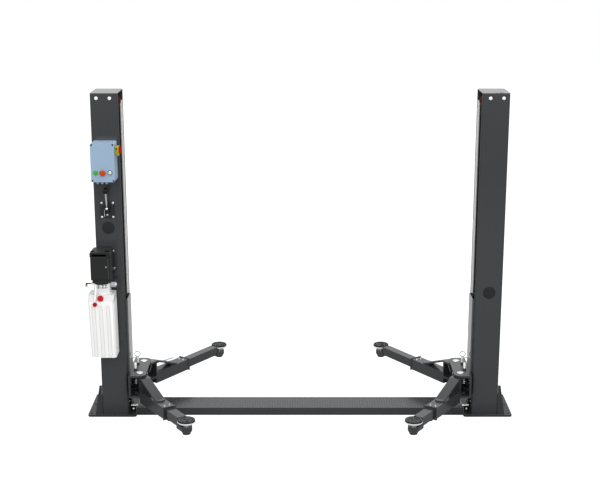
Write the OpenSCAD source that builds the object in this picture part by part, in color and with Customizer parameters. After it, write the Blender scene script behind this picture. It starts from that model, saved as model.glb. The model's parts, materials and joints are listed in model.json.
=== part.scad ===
// Two-post vehicle lift with a floor beam, in millimetres.
// The origin is on the floor at the middle of the beam, +X to the right, +Y to the back, +Z up.
// One quarter is drawn, at positive x and y, and mirrored to the other sides and ends.

/* [Columns] */
// Clear width between the two columns
bay_w = 2990; // [2500:10:3400]
// Length of the column profile, standing on the base plate
column_h = 2800; // [2500:10:3200]
// Width of a column, from the bay outwards
column_w = 227; // [215:1:260]
// Depth of a column, front to back
column_d = 330; // [310:1:400]
// Sheet thickness of the column
column_wall = 6; // [4:0.5:10]
// Outside radius of the column's bends
column_r = 15; // [10:1:20]
// Clear opening between the guide strips
slot_w = 220; // [210:1:230]
// Width of a guide strip, into the column
strip_w = 25; // [14:1:26]
// Thickness of a guide strip
strip_t = 8; // [5:1:10]
// Thickness of the cap on a column
cap_t = 6; // [4:1:10]
// Height of the tabs that cover the tops of the guide strips
tab_h = 85; // [60:1:95]
// Width of a cap's tabs
tab_w = 24; // [16:1:30]
// Thickness of a cap's tabs
tab_t = 6; // [4:1:8]
// Diameter of the round access plugs
plug_d = 105; // [80:1:120]
// Thickness of an access plug
plug_t = 6; // [4:1:8]
// Width of the thin rim of an access plug
plug_rim = 8; // [5:1:12]
// Left access plug's middle above the motor
plug_rise = 164; // [140:1:170]
// Access plugs' middle to the column's inner face
plug_in = 115; // [100:1:120]
// Height of the right access plug
plug_right_z = 1126; // [800:1:1700]

/* [Base plates] */
// Thickness of a base plate
plate_t = 18; // [12:1:25]
// How far the plate reaches into the bay
plate_inner = 66; // [60:1:90]
// How far the plate reaches outside the column
plate_outer = 129; // [110:1:160]
// How far the plate reaches in front of the column
plate_front = 8; // [2:1:30]
// How far the plate reaches behind the column
plate_back = 173; // [120:1:200]
// Radius of the plate's corners
plate_r = 22; // [5:1:28]
// Diameter of an anchor hole
anchor_d = 19; // [14:1:24]
// Anchor holes to the plate's side edges
anchor_edge = 31; // [25:1:34]
// First anchor hole to the plate's front edge
anchor_front = 38; // [30:1:45]
// Last anchor hole to the plate's back edge
anchor_back = 47; // [35:1:60]
// Width of a foot rib at the floor
rib_foot = 63; // [50:1:80]
// Width of a foot rib at its top
rib_head = 20; // [15:1:30]
// Height of a foot rib
rib_h = 268; // [200:1:320]
// Thickness of a foot rib
rib_t = 10; // [6:1:12]

// Width of a hose union's block, along the bay
union_block_w = 40; // [30:1:44]
// Depth of a hose union's block
union_block_d = 32; // [24:1:40]
// Height of a hose union's block
union_block_h = 48; // [36:1:52]
// Hose union's block to the plate's inner edge
union_block_in = 18; // [12:1:20]
// Hose unions to the column's middle, towards the front
union_block_y = 60; // [40:1:80]
// Diameter of the hose union's sleeve
sleeve_d = 27; // [20:1:30]
// Length of the hose union's sleeve
sleeve_l = 62; // [40:1:62]

/* [Floor beam] */
// Depth of the floor beam, front to back
beam_d = 260; // [200:1:290]
// Height of the floor beam
beam_h = 69; // [50:1:80]
// Sheet thickness of the floor beam
beam_t = 5; // [3:1:8]
// Thickness of the ribs under the floor beam
beam_rib_t = 8; // [5:1:12]

/* [Carriages] */
// Height of a carriage's lower end above the floor
carriage_z = 160; // [150:1:170]
// Length of a carriage
carriage_h = 890; // [700:10:900]
// Width of the neck that passes through the opening
neck_w = 200; // [180:1:204]
// How far the neck stands into the bay
neck_reach = 17; // [10:1:25]
// Width of the carriage behind the lips
flange_w = 296; // [280:1:300]
// Carriage's back face to the column's inner face
carriage_d = 125; // [118:1:126]
// Wall of the carriage
carriage_wall = 8; // [6:1:12]
// Gap between the flange and the lip, filled by slide blocks
flange_gap = 27; // [25:1:30]
// Height of a slide block
slide_h = 100; // [60:1:140]
// Width of a slide block on the carriage's back
slide_w = 40; // [30:1:60]
// Running gap of the slide blocks
slide_gap = 0.3; // [0.2:0.1:0.6]

/* [Arm brackets] */
// Depth of a bracket, front to back
bracket_w = 480; // [460:1:520]
// How far a bracket stands out from the carriage
bracket_reach = 148; // [142:1:160]
// Height of a bracket
bracket_h = 202; // [198:1:210]
// Thickness of the bracket's plates
bracket_t = 17; // [14:1:18]
// Underside of a bracket above the floor
bracket_z = 200; // [196:1:230]
// Radius of the bracket's inner corners
bracket_r = 60; // [40:1:60]
// Diameter of an arm pin
pin_d = 52; // [40:1:56]
// Diameter of an arm pin's head
pin_head_d = 58; // [57:1:64]
// Height of an arm pin's head
pin_head_h = 4; // [3:1:8]
// Arm pin to the carriage's face
pin_reach = 88; // [86:1:92]
// Distance between the two arm pins
pin_spacing = 312; // [300:1:320]
// How far an arm pin stands out below the bracket
pin_tail = 8; // [5:1:12]
// Radial clearance of a pin in the bracket
pin_seat = 0.1; // [0.05:0.05:0.2]
// Radial clearance of a pin in an arm
pin_fit = 0.2; // [0.1:0.05:0.3]

/* [Arms] */
// Width of an outer arm tube
arm_w = 107; // [100:1:116]
// Height of an outer arm tube
arm_h = 100; // [96:1:104]
// Wall of an outer arm tube
arm_wall = 6; // [5:0.5:7]
// Height of the arm tubes' centre line
arm_axis_z = 220; // [218:1:224]
// Pin to the mouth of the outer tube
arm_len = 560; // [520:1:600]
// Thickness of the collar round the tube's mouth
collar_t = 12; // [8:1:16]
// Pin to the end plate of the arm
arm_head = 100; // [96:1:110]
// Width of the inclined strap
strap_w = 88; // [70:1:96]
// Pin to the middle of the strap's round foot
strap_foot = 376; // [340:1:400]
// Thickness of the strap
strap_t = 12; // [8:1:14]
// Thickness of the upper ear
ear_t = 15; // [12:1:18]
// Thickness of the toothed lower ear
sector_t = 18; // [14:1:20]
// Radius of the ears round the pin
ear_r = 58; // [50:1:59]
// Vertical gap between the ears and the bracket's plates
ear_gap = 4; // [2:0.5:5]
// Outer radius of the teeth on the lower ear
tooth_r = 66; // [64:1:68]
// Depth of a tooth
tooth_h = 6; // [4:1:7]
// Thickness of the end plate behind the ears
end_plate_t = 12; // [10:1:16]
// Thickness of the rib under the strap's foot
strap_rib_t = 10; // [8:1:14]
// Length of the rib under the strap's foot
strap_rib_l = 76; // [60:1:90]
// Radius of the round lug under the collar
collar_lug_r = 26; // [20:1:30]
// Angle from one tooth to the next
tooth_pitch = 8; // [6:1:10]
// Half of the toothed arc
tooth_arc = 60; // [48:1:72]
// Front arms' angle from the bay's long axis
front_angle = 57; // [52:1:60]
// Back arms' angle from the bay's long axis
back_angle = 55.4; // [52:0.2:60]

/* [Extensions and pads] */
// Width of an extension tube
ext_w = 82; // [78:1:84]
// Height of an extension tube
ext_h = 78; // [74:1:80]
// Wall of an extension tube
ext_wall = 8; // [6:1:10]
// Tail of an extension to its pad
ext_len = 640; // [620:1:650]
// Pin to the pad of a front arm
front_reach = 855; // [800:1:1000]
// Pin to the pad of a back arm
back_reach = 1074; // [900:1:1080]
// Running gap of an extension in its arm
ext_gap = 0.3; // [0.2:0.1:0.6]
// Diameter of a rubber pad
pad_d = 143; // [120:1:150]
// Thickness of a rubber pad
pad_t = 25; // [15:1:30]
// Top of the rubber pads above the floor
pad_top = 265; // [262:1:275]
// Bevel on a rubber pad's edges
pad_bevel = 4; // [2:1:6]
// Diameter of the steel dish under the rubber
dish_d = 130; // [110:1:140]
// Thickness of the steel dish
dish_t = 8; // [5:1:10]
// Diameter of the pad screw
screw_d = 36; // [30:1:40]
// Radial clearance of the pad screw
screw_fit = 0.1; // [0.05:0.05:0.2]
// Radius of the lug that holds the pad screw
lug_r = 48; // [42:1:52]
// Top of the lug above the floor
lug_top = 205; // [200:1:208]
// Thickness of the lug
lug_t = 40; // [30:1:44]
// Thickness of the extension's end plate
ext_plate_t = 10; // [8:1:14]
// Gap between the pad and the extension's end plate
ext_plate_gap = 7; // [6:1:12]
// Length of the slider at the extension's tail
slider_l = 20; // [16:1:40]
// Width of the neck of a pad screw
neck_d = 54; // [46:1:60]
// Height of the cone under the lug
lug_cone_h = 29; // [20:1:30]

/* [Arm locks] */
// Diameter of a lock rod
lock_rod_d = 16; // [12:1:20]
// Lock rod to its arm pin, outwards
lock_out = 45; // [44:1:46]
// Lock rod to its arm pin, towards the middle
lock_in = 78; // [76:1:80]
// Radial clearance of a lock rod
lock_fit = 0.3; // [0.2:0.05:0.4]
// Wall of the boss round a lock rod
boss_wall = 7; // [5:1:10]
// Height of the boss round a lock rod
boss_h = 14; // [10:1:20]
// Height of the collar on a lock rod
lock_collar_h = 15; // [10:1:20]
// Top of a lock rod above the bracket
lock_rise = 70; // [60:1:90]
// Length of the toothed lock block, towards the pin
lock_block_l = 42; // [38:1:46]
// Width of the toothed lock block
lock_block_w = 44; // [36:1:50]
// Height of the toothed lock block
lock_block_h = 28; // [20:1:34]
// Gap between the raised block and the toothed ear
lock_gap = 7; // [5:1:10]
// Outer diameter of a pull ring
ring_d = 53; // [40:1:60]
// Thickness of a pull ring's wire
ring_wire = 5; // [4:0.5:6]

/* [Cylinders and chains] */
// Outside diameter of a lifting cylinder
tube_d = 70; // [60:1:74]
// Wall of a lifting cylinder
tube_wall = 5; // [4:0.5:8]
// Length of a lifting cylinder
tube_h = 1162; // [1000:1:1250]
// Thickness of a lifting cylinder's floor
tube_floor = 20; // [12:1:30]
// Height of the gland at the top of a lifting cylinder
gland_h = 30; // [20:1:50]
// Diameter of a ram
ram_d = 45; // [35:1:48]
// Height of a ram's piston
piston_h = 40; // [30:1:60]
// Running gap of a ram and its piston
ram_gap = 0.2; // [0.1:0.05:0.4]
// Lifting cylinder's axis to the column's outer face
tube_inset = 54; // [52:1:56]
// Radius of the chain roller on a ram
roller_r = 40; // [30:1:44]
// Width of the chain roller
roller_w = 34; // [24:1:40]
// Chain roller's axis above the lifting cylinder
roller_rise = 130; // [110:1:160]
// Width of a lifting chain
chain_w = 16; // [12:1:20]
// Thickness of a lifting chain
chain_t = 12; // [9:1:13]
// Radius of a chain's path round its wheel
chain_r = 42; // [40:1:44]
// Chains and their wheels to the column's middle, towards the back
chain_y = 35; // [20:1:60]
// Axis of the chain wheels to the column's inner face
wheel_in = 52; // [51:1:54]
// Outer radius of a chain wheel's flanges
wheel_r = 50; // [48:1:50]
// Diameter of a chain wheel's pin
wheel_pin_d = 16; // [12:1:20]
// Height of the lower wheels' pins
wheel_low_z = 74; // [72:1:90]
// Upper wheels' pins to the top of the column
wheel_top = 84; // [60:1:90]
// Thickness of a chain wheel's flanges
wheel_flange = 4; // [3:1:6]
// Thickness of the cheeks that carry a chain wheel
cheek_t = 5; // [4:1:8]
// Width of the cheeks
cheek_w = 40; // [30:1:50]
// Running gap of the wheels and chains
wheel_gap = 0.3; // [0.2:0.1:0.6]

/* [Control box] */
// Width of the control box
box_w = 196; // [180:1:200]
// Height of the control box
box_h = 319; // [260:1:340]
// Depth of the control box under its lid
box_d = 135; // [100:1:160]
// Depth of the lid
lid_d = 35; // [30:1:50]
// Radius of the control box's corners
box_r = 14; // [8:1:24]
// Underside of the control box above the floor
box_z = 2117; // [2100:1:2200]
// Control box's inner side to the column's inner face
box_in = 17; // [12:1:31]
// Diameter of the start button and of the lamp
button_d = 36; // [24:1:40]
// Diameter of the stop button's head
stop_d = 50; // [40:1:54]
// Buttons' axis above the underside of the box
button_z = 79; // [60:1:100]
// Distance from the start button to the stop button
button_gap = 59; // [52:1:62]
// How far the start button stands out
button_out = 8; // [5:1:12]
// How deep the buttons reach into the lid
button_deep = 10; // [8:1:14]
// Length of the stop button's neck
stop_neck = 16; // [10:1:24]
// Radial gap round a button
button_fit = 0.3; // [0.2:0.1:0.5]
// Height of the main switch plate
switch_h = 78; // [70:1:110]
// Depth of the main switch plate
switch_d = 80; // [60:1:100]
// Thickness of the main switch plate
switch_t = 28; // [15:1:35]
// Main switch's axis under the top of the box
switch_drop = 73; // [60:1:90]
// Main switch's axis to the middle of the box's side, towards the front
switch_shift = 15; // [0:1:25]
// Diameter of the main switch knob
switch_knob_d = 44; // [30:1:50]
// Thickness of the main switch knob
switch_knob_t = 8; // [6:1:12]
// Width of the knob's grip
switch_grip_w = 14; // [10:1:20]

/* [Lock lever] */
// Width of the lock bracket's plate
lock_plate_w = 122; // [100:1:150]
// Height of the lock bracket's plate
lock_plate_h = 146; // [120:1:160]
// Middle of the lock bracket's plate under the control box
lock_plate_drop = 267; // [250:1:270]
// Distance of the lock bracket from the column's inner face
lock_plate_in = 115; // [100:1:130]
// Thickness of the lock bracket's plate
lock_plate_t = 6; // [4:1:8]
// Thickness of the lock bracket's cheeks
lock_cheek_t = 5; // [4:1:8]
// Lever's pin to the column's front face
pivot_out = 35; // [30:1:45]
// Lever's pin above the middle of the plate
pivot_rise = 15; // [0:1:20]
// Diameter of the lever's pin
pivot_d = 12; // [10:1:16]
// Diameter of the lever's hub
hub_d = 28; // [24:1:34]
// Width of the lever's hub
hub_w = 20; // [16:1:24]
// Diameter of the lever's rod
lever_d = 16; // [12:1:20]
// Length of the lever, from its pivot to the middle of the knob
lever_l = 168; // [120:1:185]
// Forward lean of the lever
lever_lean = 14; // [5:1:20]
// Diameter of the lever's ball knob
knob_d = 48; // [35:1:55]

/* [Power unit] */
// Motor's axis to the column's inner face
unit_in = 165; // [150:1:170]
// Motor's back to the column's front face
motor_gap = 26; // [15:1:30]
// Width of the motor's housing
motor_w = 170; // [150:1:180]
// Depth of the motor's housing
motor_d = 170; // [150:1:180]
// Height of the motor
motor_h = 269; // [240:1:300]
// Radius of the motor's upright edges
motor_r = 26; // [10:1:40]
// Underside of the motor above the floor
motor_z = 1263; // [1250:1:1290]
// Height of the motor's top cover
motor_cap_h = 46; // [30:1:60]
// How far the top cover stands out
motor_cap_out = 4; // [2:1:8]
// Height of the flange under the motor
motor_flange_h = 26; // [15:1:40]
// Thickness of the motor's bracket
motor_plate_t = 6; // [4:1:8]
// Middle of the bracket's plate to the motor's axis, towards the bay
motor_plate_shift = 15; // [8:1:20]
// Width of the bracket's two arms
motor_arm_w = 100; // [80:1:120]
// Height of the bracket's two arms
motor_arm_h = 30; // [20:1:40]
// Lower arm's underside above the underside of the motor
motor_arm_z = 60; // [50:1:80]
// Height of the valve block
valve_h = 103; // [80:1:120]
// Width of the valve block
valve_w = 130; // [100:1:140]
// Depth of the valve block
valve_d = 90; // [70:1:100]
// Diameter of the hose union on the valve block
union_d = 44; // [28:1:46]
// Length of the hose union on the valve block
union_l = 46; // [30:1:60]
// Hose union's axis under the motor
union_drop = 31; // [26:1:60]
// Thickness of the cheeks that carry the lowering lever
valve_cheek_t = 4; // [3:1:6]
// Lowering lever's pin to the side of the valve block
valve_cheek_reach = 14; // [12:1:18]
// Lowering lever's pin under the motor
lever_drop = 14; // [12:1:40]
// Diameter of the lowering lever's pin
lever_pin_d = 10; // [8:1:12]
// Length of the lowering lever
lower_lever_l = 56; // [50:1:80]
// Width of the oil tank
tank_w = 211; // [180:1:215]
// Depth of the oil tank
tank_d = 190; // [160:1:200]
// Height of the oil tank
tank_h = 542; // [450:1:600]
// Gap between the oil tank and the column
tank_gap = 25; // [10:1:30]
// Oil tank's axis to the motor's axis, towards the bay
tank_shift = 4; // [0:1:15]
// Radius of the oil tank's upright edges
tank_r = 24; // [10:1:40]
// Height of the slanted shoulder at the front of the tank
shoulder_h = 60; // [40:1:80]
// Depth of the slanted shoulder
shoulder_d = 28; // [20:1:40]
// Middle groove to the tank's middle, outwards
groove_shift = 12; // [0:1:14]
// Width of a groove in the tank's front
groove_w = 32; // [16:1:34]
// Depth of a groove
groove_d = 7; // [3:1:10]
// Distance between the grooves
groove_pitch = 63; // [56:1:64]
// Length of the grooves
groove_h = 438; // [300:1:440]
// Top of the grooves under the top of the tank
groove_drop = 85; // [70:1:90]
// Diameter of the large filler cap
cap_d = 50; // [40:1:54]
// Large filler cap to the tank's middle, outwards
cap_shift = 11; // [0:1:30]
// Diameter of the small plug on the tank's front
small_cap_d = 36; // [24:1:40]
// Small plug to the tank's middle, outwards
small_cap_shift = 56; // [50:1:60]
// Small plug's middle under the foot of the shoulder
small_cap_drop = 12; // [8:1:16]
// Height of the filler caps
cap_h = 16; // [10:1:20]
// Diameter of the return tube
return_d = 14; // [10:1:16]

/* [Hidden] */
LEFT = -1;
RIGHT = 1;
FRONT = -1;
BACK = 1;
$fn = 48;

// Places measured outwards from the bay's middle
inner_x = bay_w / 2;
outer_x = inner_x + column_w;
plate_x0 = inner_x - plate_inner;
plate_x1 = outer_x + plate_outer;
column_top = plate_t + column_h;
front_y = -column_d / 2;
face_x = inner_x - neck_reach;
pin_x = face_x - pin_reach;
pin_y = pin_spacing / 2;
bracket_top = bracket_z + bracket_h;
unit_x = inner_x + unit_in;
motor_y1 = front_y - motor_gap;
motor_y0 = motor_y1 - motor_d;
unit_y = (motor_y0 + motor_y1) / 2;
plug_left_z = motor_z + motor_h + plug_rise;
lock_plate_z = box_z - lock_plate_drop;
tube_x = outer_x - tube_inset;
wheel_x = inner_x + wheel_in;
wheel_high_z = column_top - wheel_top;
box_x = inner_x + box_in + box_w / 2;
lid_y = front_y - box_d;
lever_x = inner_x + lock_plate_in;
pivot_y = front_y - pivot_out;
pivot_z = lock_plate_z + pivot_rise;
upper_ear_top = bracket_top - bracket_t - ear_gap;
sector_z = bracket_z + bracket_t + ear_gap;
block_z = sector_z + sector_t + lock_gap;
tank_y1 = front_y - tank_gap;
tank_y0 = tank_y1 - tank_d;
tank_z1 = motor_z - valve_h;
tank_z0 = tank_z1 - tank_h;
eps = 0.01;

// Colours as painted
paint_dark = [0.27, 0.28, 0.28];
bright_steel = [0.8, 0.81, 0.82];
black_plastic = [0.13, 0.13, 0.14];
blue_grey = [0.62, 0.71, 0.8];
white_plastic = [0.93, 0.93, 0.92];
chain_grey = [0.2, 0.2, 0.19];
signal_red = [0.71, 0.1, 0.12];
button_green = [0.22, 0.69, 0.2];
stop_orange = [0.78, 0.29, 0.11];
switch_yellow = [0.63, 0.63, 0.12];
pad_grey = [0.28, 0.29, 0.29];

// Draws its child on one side of the bay
module on_side(side) {
    if (side == LEFT) mirror([1, 0, 0]) children();
    else children();
}

// Draws its child at one end, front or back
module on_end(end) {
    if (end == FRONT) mirror([0, 1, 0]) children();
    else children();
}

// A block between two corners, given as ranges
module block(x, y, z) {
    translate([x[0], y[0], z[0]])
        cube([x[1] - x[0], y[1] - y[0], z[1] - z[0]]);
}

// A drawing in y and z, drawn along x
module along_x(x) {
    translate([x[0], 0, 0]) rotate([90, 0, 90]) linear_extrude(x[1] - x[0]) children();
}

// A drawing in x and z, drawn along y
module along_y(y) {
    translate([0, y[1], 0]) rotate([90, 0, 0]) linear_extrude(y[1] - y[0]) children();
}

// A drawing in x and y, drawn along z
module along_z(z) {
    translate([0, 0, z[0]]) linear_extrude(z[1] - z[0]) children();
}

// A centred rectangle with round corners
module round_rect(w, h, r) {
    square([w - 2 * r, h], center = true);
    square([w, h - 2 * r], center = true);
    for (x = [-1, 1], y = [-1, 1])
        translate([x * (w / 2 - r), y * (h / 2 - r)]) circle(r);
}

// A rod between two heights
module rod(d, z) {
    translate([0, 0, z[0]]) cylinder(d = d, h = z[1] - z[0]);
}

// Floor beam: a ribbed sheet channel, open below, that joins the base plates
module floor_beam() {
    color(paint_dark)
        difference() {
            block([-plate_x0, plate_x0], [-beam_d / 2, beam_d / 2], [0, beam_h]);
            block([-plate_x0 - 1, plate_x0 + 1],
                  [-beam_d / 2 + beam_t, beam_d / 2 - beam_t], [-1, beam_h - beam_t]);
        }
    color(paint_dark)
        for (i = [-2 : 2])
            translate([i * plate_x0 / 3, 0, 0])
                block([-beam_rib_t / 2, beam_rib_t / 2],
                      [-beam_d / 2 + beam_t - eps, beam_d / 2 - beam_t + eps],
                      [0, beam_h - beam_t + eps]);
}

// Base plate with its anchor holes, foot ribs and the fork of the lower chain wheel
plate_y0 = front_y - plate_front;
plate_y1 = -front_y + plate_back;
anchor_rows = [
    plate_y0 + anchor_front,
    (plate_y0 + anchor_front + plate_y1 - anchor_back) / 2,
    plate_y1 - anchor_back
];
module base_plate() {
    color(paint_dark) {
        difference() {
            translate([(plate_x0 + plate_x1) / 2, (plate_y0 + plate_y1) / 2, 0])
                along_z([0, plate_t])
                    round_rect(plate_x1 - plate_x0, plate_y1 - plate_y0, plate_r);
            for (x = [plate_x0 + anchor_edge, plate_x1 - anchor_edge], y = anchor_rows)
                translate([x, y, 0]) rod(anchor_d, [-1, plate_t + 1]);
        }
        for (y = [front_y, -front_y - rib_t])
            along_y([y, y + rib_t])
                polygon([
                    [outer_x, plate_t - eps],
                    [outer_x + rib_foot, plate_t - eps],
                    [outer_x + rib_head, plate_t + rib_h],
                    [outer_x, plate_t + rib_h]
                ]);
        wheel_cheeks([plate_t - eps, wheel_low_z + wheel_pin_d]);
        at_wheel(wheel_low_z) wheel_pin();
    }
}

// Column: a bent C section, open to the bay between its lips
module column_outline(inset) {
    translate([inner_x + column_w / 2, 0])
        round_rect(column_w - 2 * inset, column_d - 2 * inset, column_r - inset);
}
lip_y = slot_w / 2 + strip_t;
module column() {
    color(paint_dark)
        along_z([plate_t, column_top])
            difference() {
                column_outline(0);
                column_outline(column_wall);
                translate([inner_x - 1, -lip_y]) square([column_r + 1, 2 * lip_y]);
            }
}

// Caps: a top plate with two tabs and the hangers of the upper chain wheel
cheek_y = chain_w / 2 + wheel_flange + 2 * wheel_gap;
module column_cap() {
    color(paint_dark) {
        along_z([column_top, column_top + cap_t]) column_outline(0);
        for (y = [-slot_w / 2, slot_w / 2 - tab_t])
            along_y([y, y + tab_t])
                polygon([
                    [inner_x + 2, column_top + eps],
                    [inner_x + 2 + tab_w, column_top + eps],
                    [inner_x + 2 + tab_w, column_top - tab_h],
                    [inner_x + 2 + tab_w / 2, column_top - tab_h],
                    [inner_x + 2, column_top - tab_h + tab_w / 2]
                ]);
        wheel_cheeks([wheel_high_z - wheel_pin_d, column_top + eps]);
        at_wheel(wheel_high_z) wheel_pin();
    }
}
module at_wheel(z) {
    translate([wheel_x, chain_y, z]) rotate([90, 0, 0]) children();
}
module wheel_cheeks(z) {
    for (y = [chain_y - cheek_y - cheek_t, chain_y + cheek_y])
        block([wheel_x - cheek_w / 2, wheel_x + cheek_w / 2], [y, y + cheek_t], z);
}
module wheel_pin() {
    cylinder(d = wheel_pin_d, h = 2 * (cheek_y + cheek_t), center = true);
}

// Guide strips: ground bars on the edges of the column's lips
module guide_strips() {
    color(bright_steel)
        for (side = [LEFT, RIGHT], end = [FRONT, BACK])
            on_side(side) on_end(end)
                block([inner_x, inner_x + strip_w], [slot_w / 2, lip_y],
                      [plate_t, column_top - tab_h]);
}

// Access plugs: round covers on the columns' fronts
module access_plug(z) {
    color(black_plastic)
        translate([inner_x + plug_in, front_y, z]) rotate([90, 0, 0]) {
            cylinder(d = plug_d, h = plug_t / 2);
            cylinder(d = plug_d - 2 * plug_rim, h = plug_t);
        }
}

// Hose unions on the base plates, at the foot of each column
module hose_union() {
    block_top = plate_t + union_block_h;
    sleeve_z = block_top + sleeve_d * 0.6;
    color(bright_steel)
        translate([plate_x0 + union_block_in, -union_block_y, 0]) {
            block([0, union_block_w], [-union_block_d / 2, union_block_d / 2],
                  [plate_t, block_top]);
            translate([union_block_w - sleeve_l, 0, sleeve_z])
                rotate([0, 90, 0]) cylinder(d = sleeve_d, h = sleeve_l);
            translate([union_block_w * 0.9, 0, 0])
                rod(sleeve_d * 0.6, [sleeve_z - sleeve_d / 2, sleeve_z + sleeve_d * 1.5]);
            translate([union_block_w / 2, 0, 0])
                rod(sleeve_d * 0.75, [block_top - eps, sleeve_z]);
        }
}

// Chain wheels: flanged discs on pins, at the top and foot of each column
groove_r = chain_r - chain_t / 2 - wheel_gap;
module chain_wheel() {
    half = chain_w / 2 + wheel_gap;
    rotate_extrude()
        polygon([
            [wheel_pin_d / 2 + 0.1, -half - wheel_flange],
            [wheel_r, -half - wheel_flange],
            [wheel_r, -half],
            [groove_r, -half],
            [groove_r, half],
            [wheel_r, half],
            [wheel_r, half + wheel_flange],
            [wheel_pin_d / 2 + 0.1, half + wheel_flange]
        ]);
}
module chain_wheels() {
    color(signal_red)
        for (side = [LEFT, RIGHT], z = [wheel_low_z, wheel_high_z])
            on_side(side) at_wheel(z) chain_wheel();
}

// Lifting chains: one closed loop round each pair of wheels
module chain_side(r) {
    for (z = [wheel_low_z, wheel_high_z])
        translate([wheel_x, z]) circle(r);
    translate([wheel_x - r, wheel_low_z]) square([2 * r, wheel_high_z - wheel_low_z]);
}
module lift_chain() {
    color(chain_grey)
        along_y([chain_y - chain_w / 2, chain_y + chain_w / 2])
            difference() {
                chain_side(chain_r + chain_t / 2);
                chain_side(chain_r - chain_t / 2);
            }
}

// Lifting cylinders: tubes that stand on the base plates inside the columns
tube_top = plate_t + tube_h;
module lifting_cylinder() {
    color(paint_dark)
        translate([tube_x, 0, 0]) {
            difference() {
                rod(tube_d, [plate_t, tube_top]);
                rod(tube_d - 2 * tube_wall, [plate_t + tube_floor, tube_top - gland_h]);
                rod(ram_d + 2 * ram_gap, [plate_t + tube_floor, tube_top + 1]);
            }
        }
}

// Rams: a piston and rod with a fork and a grooved chain roller
ram_z = plate_t + tube_floor + 2;
roller_z = tube_top + roller_rise;
fork_foot = tube_top + 50;
fork_foot_w = 50;
fork_w = 44;
fork_t = 7;
roller_lip = 6;
roller_groove = 8;
module ram() {
    color(bright_steel)
        translate([tube_x, 0, 0]) {
            rod(tube_d - 2 * tube_wall - 3 * ram_gap, [ram_z, ram_z + piston_h]);
            rod(ram_d, [ram_z, fork_foot + 2]);
            block([-fork_foot_w / 2, fork_foot_w / 2], [-fork_foot_w / 2, fork_foot_w / 2],
                  [fork_foot, fork_foot + 30]);
            for (y = [-roller_w / 2 - 1 - fork_t, roller_w / 2 + 1])
                block([-fork_w / 2, fork_w / 2], [y, y + fork_t],
                      [fork_foot + 20, roller_z + fork_w / 2]);
            translate([0, 0, roller_z]) rotate([90, 0, 0]) {
                cylinder(d = ram_d * 0.44, h = roller_w + 2 * fork_t + 4, center = true);
                rotate_extrude()
                    polygon([
                        [0, -roller_w / 2],
                        [roller_r, -roller_w / 2],
                        [roller_r, -roller_w / 2 + roller_lip],
                        [roller_r - roller_groove, -roller_w / 2 + roller_lip + 2],
                        [roller_r - roller_groove, roller_w / 2 - roller_lip - 2],
                        [roller_r, roller_w / 2 - roller_lip],
                        [roller_r, roller_w / 2],
                        [0, roller_w / 2]
                    ]);
            }
        }
}

// Control box and its lid, with the holes that the buttons slide in
start_x = box_x + button_gap;
stop_x = box_x;
lamp_x = box_x - button_gap;
hole_depth = button_deep + 8;
stop_neck_d = stop_d * 0.6;
module box_outline() {
    translate([box_x, box_z + box_h / 2]) round_rect(box_w, box_h, box_r);
}
module control_box() {
    color(blue_grey) along_y([lid_y, front_y]) box_outline();
}
module box_lid() {
    color(blue_grey)
        difference() {
            along_y([lid_y - lid_d, lid_y]) box_outline();
            for (hole = [[start_x, button_d], [stop_x, stop_neck_d]])
                translate([hole[0], lid_y - lid_d + hole_depth, box_z + button_z])
                    rotate([90, 0, 0])
                        cylinder(d = hole[1] + 2 * button_fit, h = hole_depth + 1);
        }
}
module button_at(x) {
    translate([x, lid_y - lid_d, box_z + button_z]) rotate([90, 0, 0]) children();
}
module start_button() {
    color(button_green) button_at(start_x) rod(button_d, [-button_deep, button_out]);
}
module stop_button() {
    color(stop_orange)
        button_at(stop_x) {
            rod(stop_neck_d, [-button_deep, stop_neck]);
            rod(stop_d, [stop_neck - 1, stop_neck + 11]);
        }
}
module pilot_lamp() {
    color(white_plastic) button_at(lamp_x) rod(button_d, [0, button_out - 1]);
}

// Main switch on the inner side of the control box
switch_x = inner_x + box_in;
switch_y = lid_y + box_d / 2 - switch_shift;
switch_z = box_z + box_h - switch_drop;
module switch_plate() {
    color(switch_yellow)
        along_x([switch_x - switch_t, switch_x])
            translate([switch_y, switch_z]) round_rect(switch_d, switch_h, box_r * 0.7);
}
module switch_handle() {
    color(signal_red)
        translate([switch_x - switch_t - button_fit, switch_y, switch_z]) rotate([0, -90, 0]) {
            cylinder(d = switch_knob_d, h = switch_knob_t);
            translate([0, 0, switch_knob_t + switch_grip_w / 2 - 2])
                cube([switch_knob_d + 14, switch_grip_w, switch_grip_w], center = true);
        }
}

// Lock bracket: a plate with two cheeks and the pin that carries the lock lever
module lock_bracket() {
    color(black_plastic)
        translate([lever_x, front_y, lock_plate_z]) {
            block([-lock_plate_w / 2, lock_plate_w / 2], [-lock_plate_t, 0],
                  [-lock_plate_h / 2, lock_plate_h / 2]);
            for (x = [-hub_w / 2 - lock_cheek_t - 1, hub_w / 2 + 1])
                block([x, x + lock_cheek_t], [-pivot_out - 20, -lock_plate_t + eps],
                      [pivot_rise - 40, pivot_rise + 30]);
            translate([0, -pivot_out, pivot_rise])
                rotate([0, 90, 0])
                    cylinder(d = pivot_d, h = hub_w + 4 * lock_cheek_t, center = true);
        }
}
module lock_lever() {
    color(bright_steel)
        translate([lever_x, pivot_y, pivot_z]) rotate([lever_lean, 0, 0])
            difference() {
                union() {
                    rotate([0, 90, 0]) cylinder(d = hub_d, h = hub_w, center = true);
                    rod(lever_d, [0, lever_l]);
                    translate([0, 0, lever_l]) sphere(d = knob_d);
                }
                rotate([0, 90, 0]) cylinder(d = pivot_d + 0.2, h = hub_w + 10, center = true);
            }
}

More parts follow.
